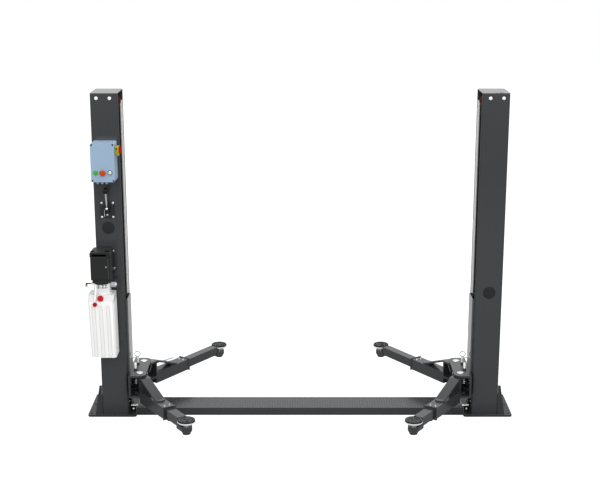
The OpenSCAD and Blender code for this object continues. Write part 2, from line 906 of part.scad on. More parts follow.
// Motor: a housing with a flange below and a top cover with bevelled edges
module unit_section(grow) {
    translate([unit_x, unit_y])
        round_rect(motor_w + 2 * grow, motor_d + 2 * grow, motor_r + grow);
}
module motor() {
    cap_z = motor_z + motor_h - motor_cap_h;
    top = motor_z + motor_h;
    bevel = motor_cap_h / 3;
    groove = motor_cap_h / 8;
    color(black_plastic) {
        along_z([motor_z, motor_z + motor_flange_h + eps]) unit_section(-motor_cap_out * 3);
        along_z([motor_z + motor_flange_h, cap_z - groove]) unit_section(0);
        along_z([cap_z - groove - eps, cap_z + eps]) unit_section(-motor_cap_out);
        intersection() {
            along_z([cap_z, top]) unit_section(motor_cap_out);
            bevelled(motor_w / 2 + motor_cap_out, [unit_x, cap_z, top], bevel);
        }
    }
}
module bevelled(half, at, bevel) {
    along_y([motor_y0 - 20, motor_y1 + 20])
        polygon([
            [at[0] - half, at[1]],
            [at[0] + half, at[1]],
            [at[0] + half, at[2] - bevel],
            [at[0] + half - bevel, at[2]],
            [at[0] - half + bevel, at[2]],
            [at[0] - half, at[2] - bevel]
        ]);
}

// Motor bracket: a plate on the column and two arms that carry the motor
module motor_bracket() {
    color(paint_dark) {
        along_y([front_y - motor_plate_t, front_y])
            translate([unit_x - motor_plate_shift, motor_z + motor_h / 2])
                round_rect(motor_w + 10, motor_h - 20, 12);
        for (z = [motor_arm_z, motor_h - motor_arm_z - motor_arm_h])
            block([unit_x - motor_arm_w / 2, unit_x + motor_arm_w / 2],
                  [motor_y1, front_y - motor_plate_t + eps],
                  [motor_z + z, motor_z + z + motor_arm_h]);
    }
}

// Valve block under the motor, with a union on its inner side and the lever's fork outside
fork_x = valve_w / 2 + valve_cheek_reach;
fork_half = 9;
fork_y = unit_y - valve_d / 3;
fork_z = motor_z - lever_drop;
module valve_block() {
    color(bright_steel) {
        translate([unit_x, unit_y, tank_z1]) {
            block([-valve_w / 2, valve_w / 2], [-valve_d / 2, valve_d / 2], [0, valve_h]);
            translate([-valve_w / 2 - union_l, 0, valve_h - union_drop])
                rotate([0, 90, 0]) cylinder(d = union_d, h = union_l + eps);
        }
        for (y = [-fork_half - valve_cheek_t, fork_half])
            block([unit_x + valve_w / 2 - eps, unit_x + fork_x + 8],
                  [fork_y + y, fork_y + y + valve_cheek_t],
                  [fork_z - 8, fork_z + 8]);
        translate([unit_x + fork_x, fork_y, fork_z])
            rotate([90, 0, 0])
                cylinder(d = lever_pin_d, h = 2 * (fork_half + valve_cheek_t), center = true);
    }
}
module lowering_lever() {
    color(black_plastic)
        translate([unit_x + fork_x, fork_y, fork_z])
            difference() {
                union() {
                    rotate([90, 0, 0])
                        cylinder(d = lever_pin_d + 10, h = 2 * fork_half - 0.6, center = true);
                    block([0, lower_lever_l], [-7, 7], [-4, 4]);
                    block([lower_lever_l - 12, lower_lever_l], [-9, 9], [-26, 4]);
                }
                rotate([90, 0, 0]) cylinder(d = lever_pin_d + 0.2, h = 30, center = true);
            }
}

// Oil tank: a moulded box with a slanted shoulder and three grooves
tank_x = unit_x - tank_shift;
module oil_tank() {
    color(white_plastic)
        difference() {
            intersection() {
                translate([tank_x, (tank_y0 + tank_y1) / 2, 0])
                    along_z([tank_z0, tank_z1]) round_rect(tank_w, tank_d, tank_r);
                along_x([tank_x - tank_w, tank_x + tank_w])
                    polygon([
                        [tank_y1 + 1, tank_z0 - 1],
                        [tank_y0, tank_z0 - 1],
                        [tank_y0, tank_z1 - shoulder_h],
                        [tank_y0 + shoulder_d, tank_z1 + eps],
                        [tank_y1 + 1, tank_z1 + eps]
                    ]);
            }
            for (i = [-1, 0, 1])
                translate([tank_x + groove_shift + i * groove_pitch, 0,
                           tank_z1 - groove_drop - groove_h / 2])
                    along_y([tank_y0 - 1, tank_y0 + groove_d])
                        round_rect(groove_w, groove_h, groove_w / 2 - eps);
        }
}

// Filler caps: the large one square on the shoulder, a small plug on the front below it
cap_tilt = atan(shoulder_h / shoulder_d);
cap_drop = 0.45;
seat = 0.02;
small_cap_x = tank_x + small_cap_shift;
small_cap_z = tank_z1 - shoulder_h - small_cap_drop;
module filler_caps() {
    color(signal_red) {
        translate([tank_x + cap_shift, tank_y0 + shoulder_d * (1 - cap_drop),
                   tank_z1 - shoulder_h * cap_drop])
            rotate([cap_tilt, 0, 0]) rod(cap_d, [seat, cap_h]);
        translate([small_cap_x, tank_y0, small_cap_z])
            rotate([90, 0, 0]) rod(small_cap_d, [seat, cap_h]);
    }
}

// Return tube: out of the valve block and down to the small plug
return_x = small_cap_x - return_d / 2;
return_y = unit_y - valve_d / 2;
return_z = motor_z - 20;
return_points = [
    [return_x, return_y, return_z],
    [return_x, return_y - 25, return_z],
    [return_x, tank_y0 + 8, tank_z1 + 20],
    [small_cap_x, tank_y0 - cap_h / 2, small_cap_z + (small_cap_d + return_d) / 2 + 0.2]
];
module stretch(a, b, d) {
    run = b - a;
    translate(a)
        rotate([0, acos(run[2] / norm(run)), atan2(run[1], run[0])]) cylinder(d = d, h = norm(run));
    translate(b) sphere(d = d);
}
module return_tube() {
    color(white_plastic)
        for (i = [0 : len(return_points) - 2])
            stretch(return_points[i], return_points[i + 1], return_d);
}

// Carriage: a hollow slide behind the lips with a neck through the opening
flange_x = inner_x + column_wall + flange_gap;
back_x = inner_x + carriage_d;
module carriage_outline(inset) {
    translate([face_x + inset, -neck_w / 2 + inset])
        square([flange_x - face_x + carriage_wall, neck_w - 2 * inset]);
    translate([flange_x + inset, -flange_w / 2 + inset])
        square([back_x - flange_x - 2 * inset, flange_w - 2 * inset]);
}
side_y = column_d / 2 - column_wall - slide_gap;
module carriage() {
    color(paint_dark) {
        along_z([carriage_z, carriage_z + carriage_h])
            difference() {
                carriage_outline(0);
                carriage_outline(carriage_wall);
            }
        for (z = [carriage_z, carriage_z + carriage_h - slide_h], end = [FRONT, BACK])
            on_end(end) {
                block([inner_x + column_wall + slide_gap, flange_x + eps],
                      [lip_y + 7, flange_w / 2], [z, z + slide_h]);
                block([flange_x, back_x], [flange_w / 2 - eps, side_y], [z, z + slide_h]);
                block([back_x - eps, outer_x - column_wall - slide_gap],
                      [flange_w / 2 - 4 - slide_w, flange_w / 2 - 4], [z, z + slide_h]);
            }
    }
}

// Arm bracket: a channel on the carriage that holds both arm pins
module bracket_outline() {
    x0 = face_x - bracket_reach;
    translate([x0 + bracket_r, -bracket_w / 2])
        square([bracket_reach - bracket_r, bracket_w]);
    translate([x0, -bracket_w / 2 + bracket_r])
        square([bracket_reach, bracket_w - 2 * bracket_r]);
    for (y = [-1, 1])
        translate([x0 + bracket_r, y * (bracket_w / 2 - bracket_r)]) circle(bracket_r);
}
module arm_bracket() {
    color(paint_dark)
        difference() {
            union() {
                along_z([bracket_z, bracket_z + bracket_t]) bracket_outline();
                along_z([bracket_top - bracket_t, bracket_top]) bracket_outline();
                block([face_x - bracket_t, face_x], [-bracket_w / 2, bracket_w / 2],
                      [bracket_z, bracket_top]);
                for (end = [FRONT, BACK])
                    on_end(end) translate([pin_x + lock_out, pin_y - lock_in, 0])
                        rod(lock_rod_d + 2 * boss_wall, [bracket_top - eps, bracket_top + boss_h]);
            }
            for (end = [FRONT, BACK])
                on_end(end) {
                    translate([pin_x, pin_y, 0])
                        rod(pin_d + 2 * pin_seat, [bracket_z - 1, bracket_top + 1]);
                    translate([pin_x + lock_out, pin_y - lock_in, 0])
                        rod(lock_rod_d + 2 * lock_fit, [bracket_top - bracket_t - 1, bracket_top + 20]);
                }
        }
}
module arm_pins() {
    color(bright_steel)
        for (end = [FRONT, BACK])
            on_end(end) translate([pin_x, pin_y, 0]) {
                rod(pin_d, [bracket_z - pin_tail, bracket_top + pin_head_h]);
                rod(pin_head_d, [bracket_top, bracket_top + pin_head_h]);
            }
}

// Draws its child at an arm pin with the arm along +x, swung to its rest angle
module on_arm(side, end) {
    angle = end == FRONT ? front_angle : back_angle;
    on_side(side) on_end(end)
        translate([pin_x, pin_y, 0]) rotate([0, 0, 180 - angle]) children();
}
function reach(end) = end == FRONT ? front_reach : back_reach;

// Arm: two ears on the pin, an end plate, a tube with a collar, and a strap over it
tube_from = arm_head + end_plate_t;
arm_top = arm_axis_z + arm_h / 2;
arm_under = arm_axis_z - arm_h / 2;
module sector_teeth() {
    root_r = tooth_r - tooth_h;
    difference() {
        union() {
            circle(root_r);
            for (a = [180 - tooth_arc : tooth_pitch : 180 + tooth_arc])
                rotate(a) polygon([
                    [root_r - 4, -tooth_pitch * 0.45],
                    [tooth_r, -tooth_pitch * 0.2],
                    [tooth_r, tooth_pitch * 0.2],
                    [root_r - 4, tooth_pitch * 0.45]
                ]);
        }
        circle(pin_d / 2 + pin_fit);
    }
}
module ear_outline() {
    difference() {
        union() {
            circle(ear_r);
            translate([0, -arm_w / 2]) square([arm_head + eps, arm_w]);
        }
        circle(pin_d / 2 + pin_fit);
    }
}
module arm_section(grow) {
    translate([0, arm_axis_z]) square([arm_w + grow, arm_h + grow], center = true);
}
module arm() {
    color(paint_dark) {
        along_z([upper_ear_top - ear_t, upper_ear_top]) ear_outline();
        along_z([sector_z, sector_z + sector_t]) {
            sector_teeth();
            difference() {
                translate([0, -arm_w / 2]) square([arm_head + eps, arm_w]);
                circle(pin_d / 2 + pin_fit);
            }
        }
        block([arm_head, tube_from], [-arm_w / 2, arm_w / 2], [arm_under, upper_ear_top]);
        along_x([tube_from - eps, arm_len])
            difference() {
                arm_section(0);
                arm_section(-2 * arm_wall);
            }
        along_x([arm_len - collar_t, arm_len])
            difference() {
                union() {
                    arm_section(collar_t);
                    translate([0, arm_under]) circle(collar_lug_r);
                }
                translate([0, arm_axis_z])
                    square([ext_w + 2 * ext_gap, ext_h + 2 * ext_gap], center = true);
            }
        along_y([-strap_w / 2, strap_w / 2])
            polygon([
                [tube_from - eps, upper_ear_top],
                [tube_from + 6, upper_ear_top],
                [strap_foot, arm_top + strap_t],
                [strap_foot, arm_top - eps],
                [strap_foot - 6, arm_top - eps],
                [tube_from - eps, upper_ear_top - strap_t - 2]
            ]);
        translate([strap_foot, 0, arm_top - eps]) cylinder(r = strap_w / 2, h = strap_t);
        along_y([-strap_rib_t / 2, strap_rib_t / 2])
            polygon([
                [strap_foot - strap_rib_l, arm_top - eps],
                [strap_foot, arm_top - eps],
                [strap_foot, arm_top + strap_t / 2],
                [strap_foot - strap_rib_l, arm_top + 30]
            ]);
    }
}

// Extension: an inner tube with a slider at its tail and a lug for the pad screw
lug_under = lug_top - lug_t;
module extension(end) {
    pad = reach(end);
    tail = pad - ext_len;
    plate = pad - pad_d / 2 - ext_plate_gap;
    color(paint_dark) {
        along_x([tail, plate])
            difference() {
                translate([0, arm_axis_z]) square([ext_w, ext_h], center = true);
                translate([0, arm_axis_z])
                    square([ext_w - 2 * ext_wall, ext_h - 2 * ext_wall], center = true);
            }
        along_x([tail, tail + slider_l])
            difference() {
                translate([0, arm_axis_z])
                    square([arm_w - 2 * arm_wall - 2 * ext_gap,
                            arm_h - 2 * arm_wall - 2 * ext_gap], center = true);
                translate([0, arm_axis_z])
                    square([ext_w - 2 * ext_wall, ext_h - 2 * ext_wall], center = true);
            }
        difference() {
            union() {
                block([plate - ext_plate_t, pad], [-lug_r, lug_r], [lug_under, lug_top]);
                block([plate - ext_plate_t, plate], [-ext_w / 2, ext_w / 2],
                      [lug_under, arm_axis_z + ext_h / 2]);
                translate([pad, 0, 0]) rod(2 * lug_r, [lug_under, lug_top]);
                translate([pad, 0, lug_under - lug_cone_h])
                    cylinder(r1 = lug_r - 16, r2 = lug_r - 4, h = lug_cone_h + eps);
            }
            translate([pad, 0, 0])
                rod(screw_d + 2 * screw_fit, [lug_under - lug_cone_h - 1, lug_top + 1]);
        }
    }
}

// Pad screw: a shank and neck under a steel dish
dish_z = pad_top - pad_t - dish_t;
module pad_screw(end) {
    color(bright_steel)
        translate([reach(end), 0, 0]) {
            rod(screw_d, [lug_under - lug_cone_h + 4, dish_z + eps]);
            rod(neck_d, [lug_top + screw_fit * 3, dish_z + eps]);
            rod(dish_d, [dish_z, dish_z + dish_t]);
        }
}

// Rubber pad with a bevelled edge
module pad(end) {
    color(pad_grey)
        translate([reach(end), 0, dish_z + dish_t])
            rotate_extrude()
                polygon([
                    [0, 0],
                    [pad_d / 2 - pad_bevel, 0],
                    [pad_d / 2, pad_bevel],
                    [pad_d / 2, pad_t - pad_bevel],
                    [pad_d / 2 - pad_bevel, pad_t],
                    [0, pad_t]
                ]);
}

// Arm lock: a rod with a pull ring above the bracket and a toothed block below
lock_dist = sqrt(lock_out * lock_out + lock_in * lock_in);
lock_bearing = atan2(-lock_in, lock_out);
module arm_lock() {
    translate([pin_x, pin_y, 0]) {
        color(bright_steel)
            translate([lock_out, -lock_in, 0]) {
                rod(lock_rod_d, [block_z, bracket_top + lock_rise]);
                rod(lock_rod_d + 6,
                    [bracket_top + boss_h + 1, bracket_top + boss_h + 1 + lock_collar_h]);
                translate([0, 0, bracket_top + lock_rise + ring_d / 2 - ring_wire - 2])
                    rotate([90, 0, 0]) rotate_extrude()
                        translate([(ring_d - ring_wire) / 2, 0]) circle(d = ring_wire, $fn = 24);
            }
        color(black_plastic)
            rotate([0, 0, lock_bearing])
                along_z([block_z, block_z + lock_block_h])
                    difference() {
                        translate([tooth_r - tooth_h + 1, -lock_block_w / 2])
                            square([lock_block_l, lock_block_w]);
                        for (a = [-16 : tooth_pitch : 16])
                            rotate(a) polygon([
                                [tooth_r - tooth_h - 3, -tooth_pitch * 0.5],
                                [tooth_r + 0.5, -tooth_pitch * 0.22],
                                [tooth_r + 0.5, tooth_pitch * 0.22],
                                [tooth_r - tooth_h - 3, tooth_pitch * 0.5]
                            ]);
                    }
    }
}

floor_beam();
on_side(LEFT) base_plate();  // base_plate_left
on_side(RIGHT) base_plate();  // base_plate_right
on_side(LEFT) column();  // column_left
on_side(RIGHT) column();  // column_right
for (side = [LEFT, RIGHT]) on_side(side) column_cap();  // column_caps
guide_strips();
union() {  // access_plugs
    on_side(LEFT) access_plug(plug_left_z);
    on_side(RIGHT) access_plug(plug_right_z);
}
for (side = [LEFT, RIGHT]) on_side(side) hose_union();  // hose_unions
chain_wheels();
for (side = [LEFT, RIGHT]) on_side(side) lift_chain();  // lift_chains
for (side = [LEFT, RIGHT]) on_side(side) lifting_cylinder();  // lifting_cylinders
on_side(LEFT) ram();  // ram_left
on_side(RIGHT) ram();  // ram_right
on_side(LEFT) control_box();
on_side(LEFT) box_lid();
on_side(LEFT) start_button();
on_side(LEFT) stop_button();
on_side(LEFT) pilot_lamp();
on_side(LEFT) switch_plate();
on_side(LEFT) switch_handle();
on_side(LEFT) lock_bracket();
on_side(LEFT) lock_lever();
on_side(LEFT) motor();
on_side(LEFT) motor_bracket();
on_side(LEFT) valve_block();
on_side(LEFT) lowering_lever();
on_side(LEFT) oil_tank();
on_side(LEFT) filler_caps();
on_side(LEFT) return_tube();
on_side(LEFT) carriage();  // carriage_left
on_side(LEFT) arm_bracket();  // arm_bracket_left
on_side(LEFT) arm_pins();  // arm_pins_left
on_side(RIGHT) carriage();  // carriage_right
on_side(RIGHT) arm_bracket();  // arm_bracket_right
on_side(RIGHT) arm_pins();  // arm_pins_right
on_arm(LEFT, FRONT) arm();  // arm_front_left
on_arm(LEFT, FRONT) extension(FRONT);  // extension_front_left
on_arm(LEFT, FRONT) pad_screw(FRONT);  // pad_screw_front_left
on_arm(LEFT, FRONT) pad(FRONT);  // pad_front_left
on_side(LEFT) on_end(FRONT) arm_lock();  // arm_lock_front_left
on_arm(LEFT, BACK) arm();  // arm_back_left
on_arm(LEFT, BACK) extension(BACK);  // extension_back_left
on_arm(LEFT, BACK) pad_screw(BACK);  // pad_screw_back_left
on_arm(LEFT, BACK) pad(BACK);  // pad_back_left
on_side(LEFT) on_end(BACK) arm_lock();  // arm_lock_back_left
on_arm(RIGHT, FRONT) arm();  // arm_front_right
on_arm(RIGHT, FRONT) extension(FRONT);  // extension_front_right
on_arm(RIGHT, FRONT) pad_screw(FRONT);  // pad_screw_front_right
on_arm(RIGHT, FRONT) pad(FRONT);  // pad_front_right
on_side(RIGHT) on_end(FRONT) arm_lock();  // arm_lock_front_right
on_arm(RIGHT, BACK) arm();  // arm_back_right
on_arm(RIGHT, BACK) extension(BACK);  // extension_back_right
on_arm(RIGHT, BACK) pad_screw(BACK);  // pad_screw_back_right
on_arm(RIGHT, BACK) pad(BACK);  // pad_back_right
on_side(RIGHT) on_end(BACK) arm_lock();  // arm_lock_back_right
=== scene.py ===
# %% [markdown]
# # A two-post vehicle lift
# Two steel columns stand on base plates, with a flat beam of tread plate between them. A carriage
# slides up and down inside each column and carries two swing arms with rubber pads. The CAD model
# already holds every real shape, so this lesson only dresses it: it rounds the edges that catch the
# light, adds the screws, welds, tread and chain links, and gives each material a finish.
#
# The CAD frame is loaded first. Every later piece rides on one of its bodies.

# %% Load the CAD frame
import json
import math

import bmesh
import bpy
from mathutils import Matrix, Vector

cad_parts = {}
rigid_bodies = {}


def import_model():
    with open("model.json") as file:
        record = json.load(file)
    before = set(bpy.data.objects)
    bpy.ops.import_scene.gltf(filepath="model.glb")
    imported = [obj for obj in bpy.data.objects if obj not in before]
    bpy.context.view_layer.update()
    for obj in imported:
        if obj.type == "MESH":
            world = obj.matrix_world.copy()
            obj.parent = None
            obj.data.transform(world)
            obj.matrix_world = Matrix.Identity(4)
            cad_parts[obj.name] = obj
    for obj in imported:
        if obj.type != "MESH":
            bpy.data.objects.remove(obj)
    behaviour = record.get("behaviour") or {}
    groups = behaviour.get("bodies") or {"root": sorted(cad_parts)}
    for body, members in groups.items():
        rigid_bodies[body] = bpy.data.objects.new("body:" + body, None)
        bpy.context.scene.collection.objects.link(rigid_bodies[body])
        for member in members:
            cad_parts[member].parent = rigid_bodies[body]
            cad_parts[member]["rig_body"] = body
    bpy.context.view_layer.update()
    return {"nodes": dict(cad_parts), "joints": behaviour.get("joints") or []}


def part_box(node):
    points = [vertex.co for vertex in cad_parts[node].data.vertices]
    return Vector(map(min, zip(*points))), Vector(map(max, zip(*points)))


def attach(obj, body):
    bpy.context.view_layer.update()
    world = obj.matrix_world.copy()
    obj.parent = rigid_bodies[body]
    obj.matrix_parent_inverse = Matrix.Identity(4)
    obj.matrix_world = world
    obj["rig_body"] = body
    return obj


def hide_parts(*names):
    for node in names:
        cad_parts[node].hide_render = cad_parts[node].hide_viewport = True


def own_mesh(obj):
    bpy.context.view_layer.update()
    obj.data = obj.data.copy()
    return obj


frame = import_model()
nodes = frame["nodes"]
joints = {joint["name"]: joint for joint in frame["joints"]}
MM = 0.001
SIDES = {"left": -1, "right": 1}
ENDS = {"front": -1, "back": 1}
ARMS = [(end, side) for side in SIDES for end in ENDS]

# %% [markdown]
# ## Node trees as plain Python
# Materials and Geometry Nodes are both node trees. Writing each link by hand hides the idea, so a
# small class wraps a socket and overloads the arithmetic operators: an expression such as
# `1 - mask * 0.5` adds the Math nodes itself. Every other node comes from one method.

# %% Values and node trees
class Value:
    """A socket's value, on which Python's operators add Math nodes."""

    def __init__(self, builder, socket):
        self.builder = builder
        self.socket = socket

    def math(self, operation, first, second=0.0):
        """The result of a Math node on two values."""
        return self.builder.node("ShaderNodeMath", {"operation": operation}, {0: first, 1: second})

    def __add__(self, other):
        return self.math("ADD", self, other)

    __radd__ = __add__

    def __sub__(self, other):
        return self.math("SUBTRACT", self, other)

    def __rsub__(self, other):
        return self.math("SUBTRACT", other, self)

    def __mul__(self, other):
        return self.math("MULTIPLY", self, other)

    __rmul__ = __mul__

    def __truediv__(self, other):
        return self.math("DIVIDE", self, other)

    def __mod__(self, other):
        return self.math("MODULO", self, other)

    def floor(self):
        """The whole number below the value."""
        return self.math("FLOOR", self)

    def output_named(self, name):
        """Another output of the same node."""
        return Value(self.builder, self.socket.node.outputs[name])

    def ramp(self, start, end):
        """0 before start, 1 after end, and an even rise between."""
        return self.builder.node("ShaderNodeMapRange", inputs={
            "Value": self, "From Min": start, "From Max": end, "To Min": 0.0, "To Max": 1.0})


class Builder:
    """Adds nodes to one tree."""

    def __init__(self, tree):
        self.tree = tree

    def node(self, kind, settings=None, inputs=None, output=0):
        """Adds a node of a type, makes its settings, then feeds its sockets."""
        made = self.tree.nodes.new(kind)
        for name, value in (settings or {}).items():
            if name == "stops":
                self.set_stops(made.color_ramp, value)
            else:
                setattr(made, name, value)
        for key, value in (inputs or {}).items():
            self.feed(made.inputs[key], value)
        return Value(self, made.outputs[output]) if len(made.outputs) else None

    def feed(self, socket, value):
        """Links a value to a socket, or several to one that joins them, or sets a number."""
        if isinstance(value, Value):
            self.tree.links.new(value.socket, socket)
        elif isinstance(value, list) and isinstance(value[0], Value):
            for part in value:
                self.tree.links.new(part.socket, socket)
        else:
            socket.default_value = value

    def set_stops(self, ramp, stops):
        """Puts a colour ramp's stops at the given places."""
        while len(ramp.elements) < len(stops):
            ramp.elements.new(0.5)
        for element, (place, colour) in zip(ramp.elements, stops):
            element.position = place
            element.color = colour


print("Operators ready")

# %% [markdown]
# ## Finishes
# A finish is a Principled shader with a few things that vary over the surface: a slight change of
# colour, patches that are a little rougher, and a fine bump. All patterns read Object coordinates,
# so they lie on the metal like the real ones and stay there when an arm swings.

# %% Finish class
class Finish(Builder):
    """One material, made from a Principled shader."""

    def __init__(self, name):
        self.material = bpy.data.materials.new(name)
        self.material.use_nodes = True
        super().__init__(self.material.node_tree)
        self.tree.nodes.clear()
        self.place = self.node("ShaderNodeTexCoord", output="Object")

    def noise(self, scale, detail=2.0, stretch=(1, 1, 1)):
        """Soft noise from 0 to 1 over the object's own coordinates."""
        place = self.node("ShaderNodeMapping", inputs={"Vector": self.place, "Scale": stretch})
        return self.node("ShaderNodeTexNoise",
                         inputs={"Vector": place, "Scale": scale, "Detail": detail},
                         output="Fac")

    def between(self, factor, low, high):
        """A number that goes from low to high with a factor."""
        return factor * (high - low) + low

    def shade(self, factor, colour, change):
        """A colour that goes darker and lighter by a share, with a factor."""
        dark = [channel * (1 - change) for channel in colour] + [1.0]
        light = [min(1.0, channel * (1 + change)) for channel in colour] + [1.0]
        return self.node("ShaderNodeMix", {"data_type": "RGBA"},
                         {"Factor": factor, 6: dark, 7: light}, output=2)

    def bump(self, height, strength, distance):
        """A fine relief."""
        return self.node("ShaderNodeBump",
                         inputs={"Height": height, "Strength": strength, "Distance": distance})

    def close(self, **sockets):
        """Ends the tree with the Principled shader."""
        named = {name.replace("_", " "): value for name, value in sockets.items()}
        shader = self.node("ShaderNodeBsdfPrincipled", inputs=named)
        self.node("ShaderNodeOutputMaterial", inputs={"Surface": shader})
        return self.material


# %% [markdown]
# ## Paint
# The columns and arms are powder coated in a dark grey with a slight orange peel. The control box
# has the same kind of coat in pale blue. Powder runs a little thicker in places, so the gloss
# varies. The paint itself is nearly black: what makes the tops of the arms pale is the white room,
# which any smooth coat mirrors more and more as it is seen at a flatter angle.

# %% Paint finishes
def powder_coat(name, colour, roughness, film=0.0):
    """A powder coat: even colour, patchy gloss, orange peel, and maybe a film of clean oil."""
    finish = Finish(name)
    patches = finish.noise(3.0, 4.0)
    peel = finish.noise(420.0, 1.0)
    return finish.close(
        Base_Color=finish.shade(patches, colour, 0.05),
        Roughness=finish.between(patches, roughness - 0.03, roughness + 0.03),
        Coat_Weight=film,
        Normal=finish.bump(peel, 0.06, 0.2 * MM),
    )


def coat_with_matt_zone(name, colour, roughness, start, end, mirror=0.5, foot=0.0):
    """A powder coat that is matt past a distance from the middle, and below foot."""
    finish = Finish(name)
    patches = finish.noise(3.0, 4.0)
    split = finish.node("ShaderNodeSeparateXYZ", inputs={"Vector": finish.place})
    across, height = split.output_named("X"), split.output_named("Z")
    sideways = (across * across).ramp(start * start, end * end)
    matt_share = finish.node("ShaderNodeMath", {"operation": "MAXIMUM"},
                             {0: sideways, 1: 1 - height.ramp(foot * 0.2, foot + 1 * MM)})
    coat = {"Base Color": finish.shade(patches, colour, 0.05),
            "Normal": finish.bump(finish.noise(420.0, 1.0), 0.06, 0.2 * MM)}
    smooth = finish.node("ShaderNodeBsdfPrincipled", inputs={**coat, "Roughness": roughness, "Specular IOR Level": mirror})
    matt = finish.node("ShaderNodeBsdfPrincipled",
                       inputs={**coat, "Roughness": 0.5, "Specular IOR Level": 0.12})
    both = finish.node("ShaderNodeMixShader", inputs={0: matt_share, 1: smooth, 2: matt})
    finish.node("ShaderNodeOutputMaterial", inputs={"Surface": both})
    return finish.material


DARK_GREY = (0.028, 0.031, 0.033)
dark_paint = powder_coat("dark grey powder coat", DARK_GREY, 0.19)
tread_paint = coat_with_matt_zone("tread plate paint", (0.018, 0.019, 0.0195), 0.36, 1.33, 1.37,
                                  0.40)
column_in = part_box("column_right")[0].x
column_paint = coat_with_matt_zone("column powder coat", (0.034, 0.037, 0.039), 0.19, column_in + 6 * MM,
                                   column_in + 1 * MM, foot=0.15)
# The carriages' paint is lighter than the columns' as a painted sheen of their bright inner sides; it also
# has a clear film of oil.
carriage_sheen_paint = powder_coat("oiled paint of the carriages", (0.085, 0.087, 0.088), 0.13, 1.0)
black_paint = powder_coat("black bracket paint", (0.006, 0.006, 0.0065), 0.36)
box_paint = powder_coat("pale blue powder coat", (0.275, 0.390, 0.525), 0.34)
print("Paints:", dark_paint.name, "and", box_paint.name)

# %% [markdown]
# ## Metals
# Pins, dishes and guide strips are ground bright, with a fine grain in their gloss. Screws are zinc
# plated, which is smoother and a little whiter. The chain is steel under a film of dark grease.

# %% Metal finishes
def ground_metal(name, colour, roughness, stretch=(1, 1, 1), lines=300.0):
    """Bare metal with fine lines where the stretch is uneven."""
    finish = Finish(name)
    patches = finish.noise(12.0, 3.0)
    grain = finish.noise(lines, 2.0, stretch)
    return finish.close(
        Base_Color=finish.shade(patches, colour, 0.06),
        Metallic=1.0,
        Roughness=finish.between(grain, roughness - 0.06, roughness + 0.08),
        Normal=finish.bump(grain, 0.05, 0.1 * MM),
    )


bright_steel = ground_metal("ground steel", (0.66, 0.67, 0.68), 0.30)
zinc = ground_metal("zinc plated screw", (0.90, 0.91, 0.92), 0.24)
greased_steel = ground_metal("greased chain steel", (0.16, 0.155, 0.15), 0.38)
# Painted shade: a dull grey metal for the strips that stand for the valve block's grooves.
groove_shade_metal = ground_metal("dull wire", (0.11, 0.11, 0.115), 0.42)
dark_metal = ground_metal("oily pin steel", (0.05, 0.05, 0.052), 0.40)
brass = ground_metal("brass fitting", (0.70, 0.52, 0.20), 0.30)
print("Metals:", bright_steel.name, "and", zinc.name)

# %% [markdown]
# ## Plastics and rubber
# The tank, the caps and the buttons are moulded, with a satin face and hardly any texture. The pads
# are rubber: dull, with a coarse grain and paler where dust has been rubbed into it.

# %% Plastic and rubber finishes
def moulded(name, colour, roughness, mirror=0.5, grain=0.03):
    """Moulded plastic with a faint grain; mirror is how strongly it reflects head on."""
    finish = Finish(name)
    patches = finish.noise(8.0, 2.0)
    skin = finish.noise(700.0, 1.0)
    return finish.close(
        Base_Color=finish.shade(patches, colour, 0.03),
        Roughness=finish.between(patches, roughness - 0.04, roughness + 0.06),
        Specular_IOR_Level=mirror,
        Normal=finish.bump(skin, grain, 0.1 * MM),
    )


def dusty_rubber(name, colour, dust):
    """Rubber with dust in its grain."""
    finish = Finish(name)
    cloud = finish.noise(60.0, 5.0)
    grain = finish.noise(500.0, 3.0)
    spread = finish.node("ShaderNodeValToRGB",
                         {"stops": [(0.35, (*colour, 1)), (0.75, (*dust, 1))]}, {"Fac": cloud})
    return finish.close(
        Base_Color=spread,
        Roughness=finish.between(cloud, 0.62, 0.85),
        Specular_IOR_Level=0.3,
        Normal=finish.bump(grain, 0.5, 0.6 * MM),
    )


black_plastic = moulded("black moulding", (0.013, 0.0143, 0.0138), 0.42, 0.25, 0.06)
white_plastic = moulded("white moulding", (0.90, 0.90, 0.895), 0.38)
red_plastic = moulded("red moulding", (0.42, 0.005, 0.008), 0.42, 0.10)
green_plastic = moulded("green push button", (0.030, 0.40, 0.022), 0.36, 0.15)
orange_plastic = moulded("orange stop button", (0.50, 0.056, 0.005), 0.40, 0.08)
yellow_plastic = moulded("yellow switch plate", (0.34, 0.34, 0.006), 0.40, 0.12)
smoke_plastic = moulded("smoke blue cover", (0.20, 0.17, 0.32), 0.22)
cast_aluminium = moulded("light cast valve block", (0.80, 0.80, 0.82), 0.34)
lamp_plastic = moulded("white push button", (0.62, 0.62, 0.62), 0.36)
gloss_plastic = moulded("black ball", (0.004, 0.004, 0.004), 0.34, 0.22)
# Painted shade: a black without gloss for the ledge and the screw wells of the motor cover.
recess_shade_black = moulded("unlit black recess", (0.001, 0.001, 0.001), 0.9, 0.0)
# Painted shade for the tank's grooves: a light grey for their floors and a mid grey for their edges.
groove_floor_shade = moulded("groove floor", (0.84, 0.84, 0.835), 0.5, 0.3)
groove_edge_shade = moulded("shaded groove edge", (0.56, 0.56, 0.55), 0.5, 0.2)
# Lit and shaded copies of one ring wire: pale on the front arms as painted light, dark on the back arms as
# painted shade.
ring_lit_and_shaded = {"front": moulded("pale ring wire", (0.34, 0.34, 0.34), 0.5, 0.25),
              "back": moulded("dark ring wire", (0.035, 0.035, 0.035), 0.5, 0.15)}
wheel_red = moulded("oily red wheel", (0.11, 0.020, 0.020), 0.5, 0.2)
lump_rubber = moulded("rubber lumps", (0.004, 0.0042, 0.0045), 0.75, 0.06)
flat_rubber = moulded("dusty rubber floor", (0.17, 0.172, 0.175), 0.8, 0.1)
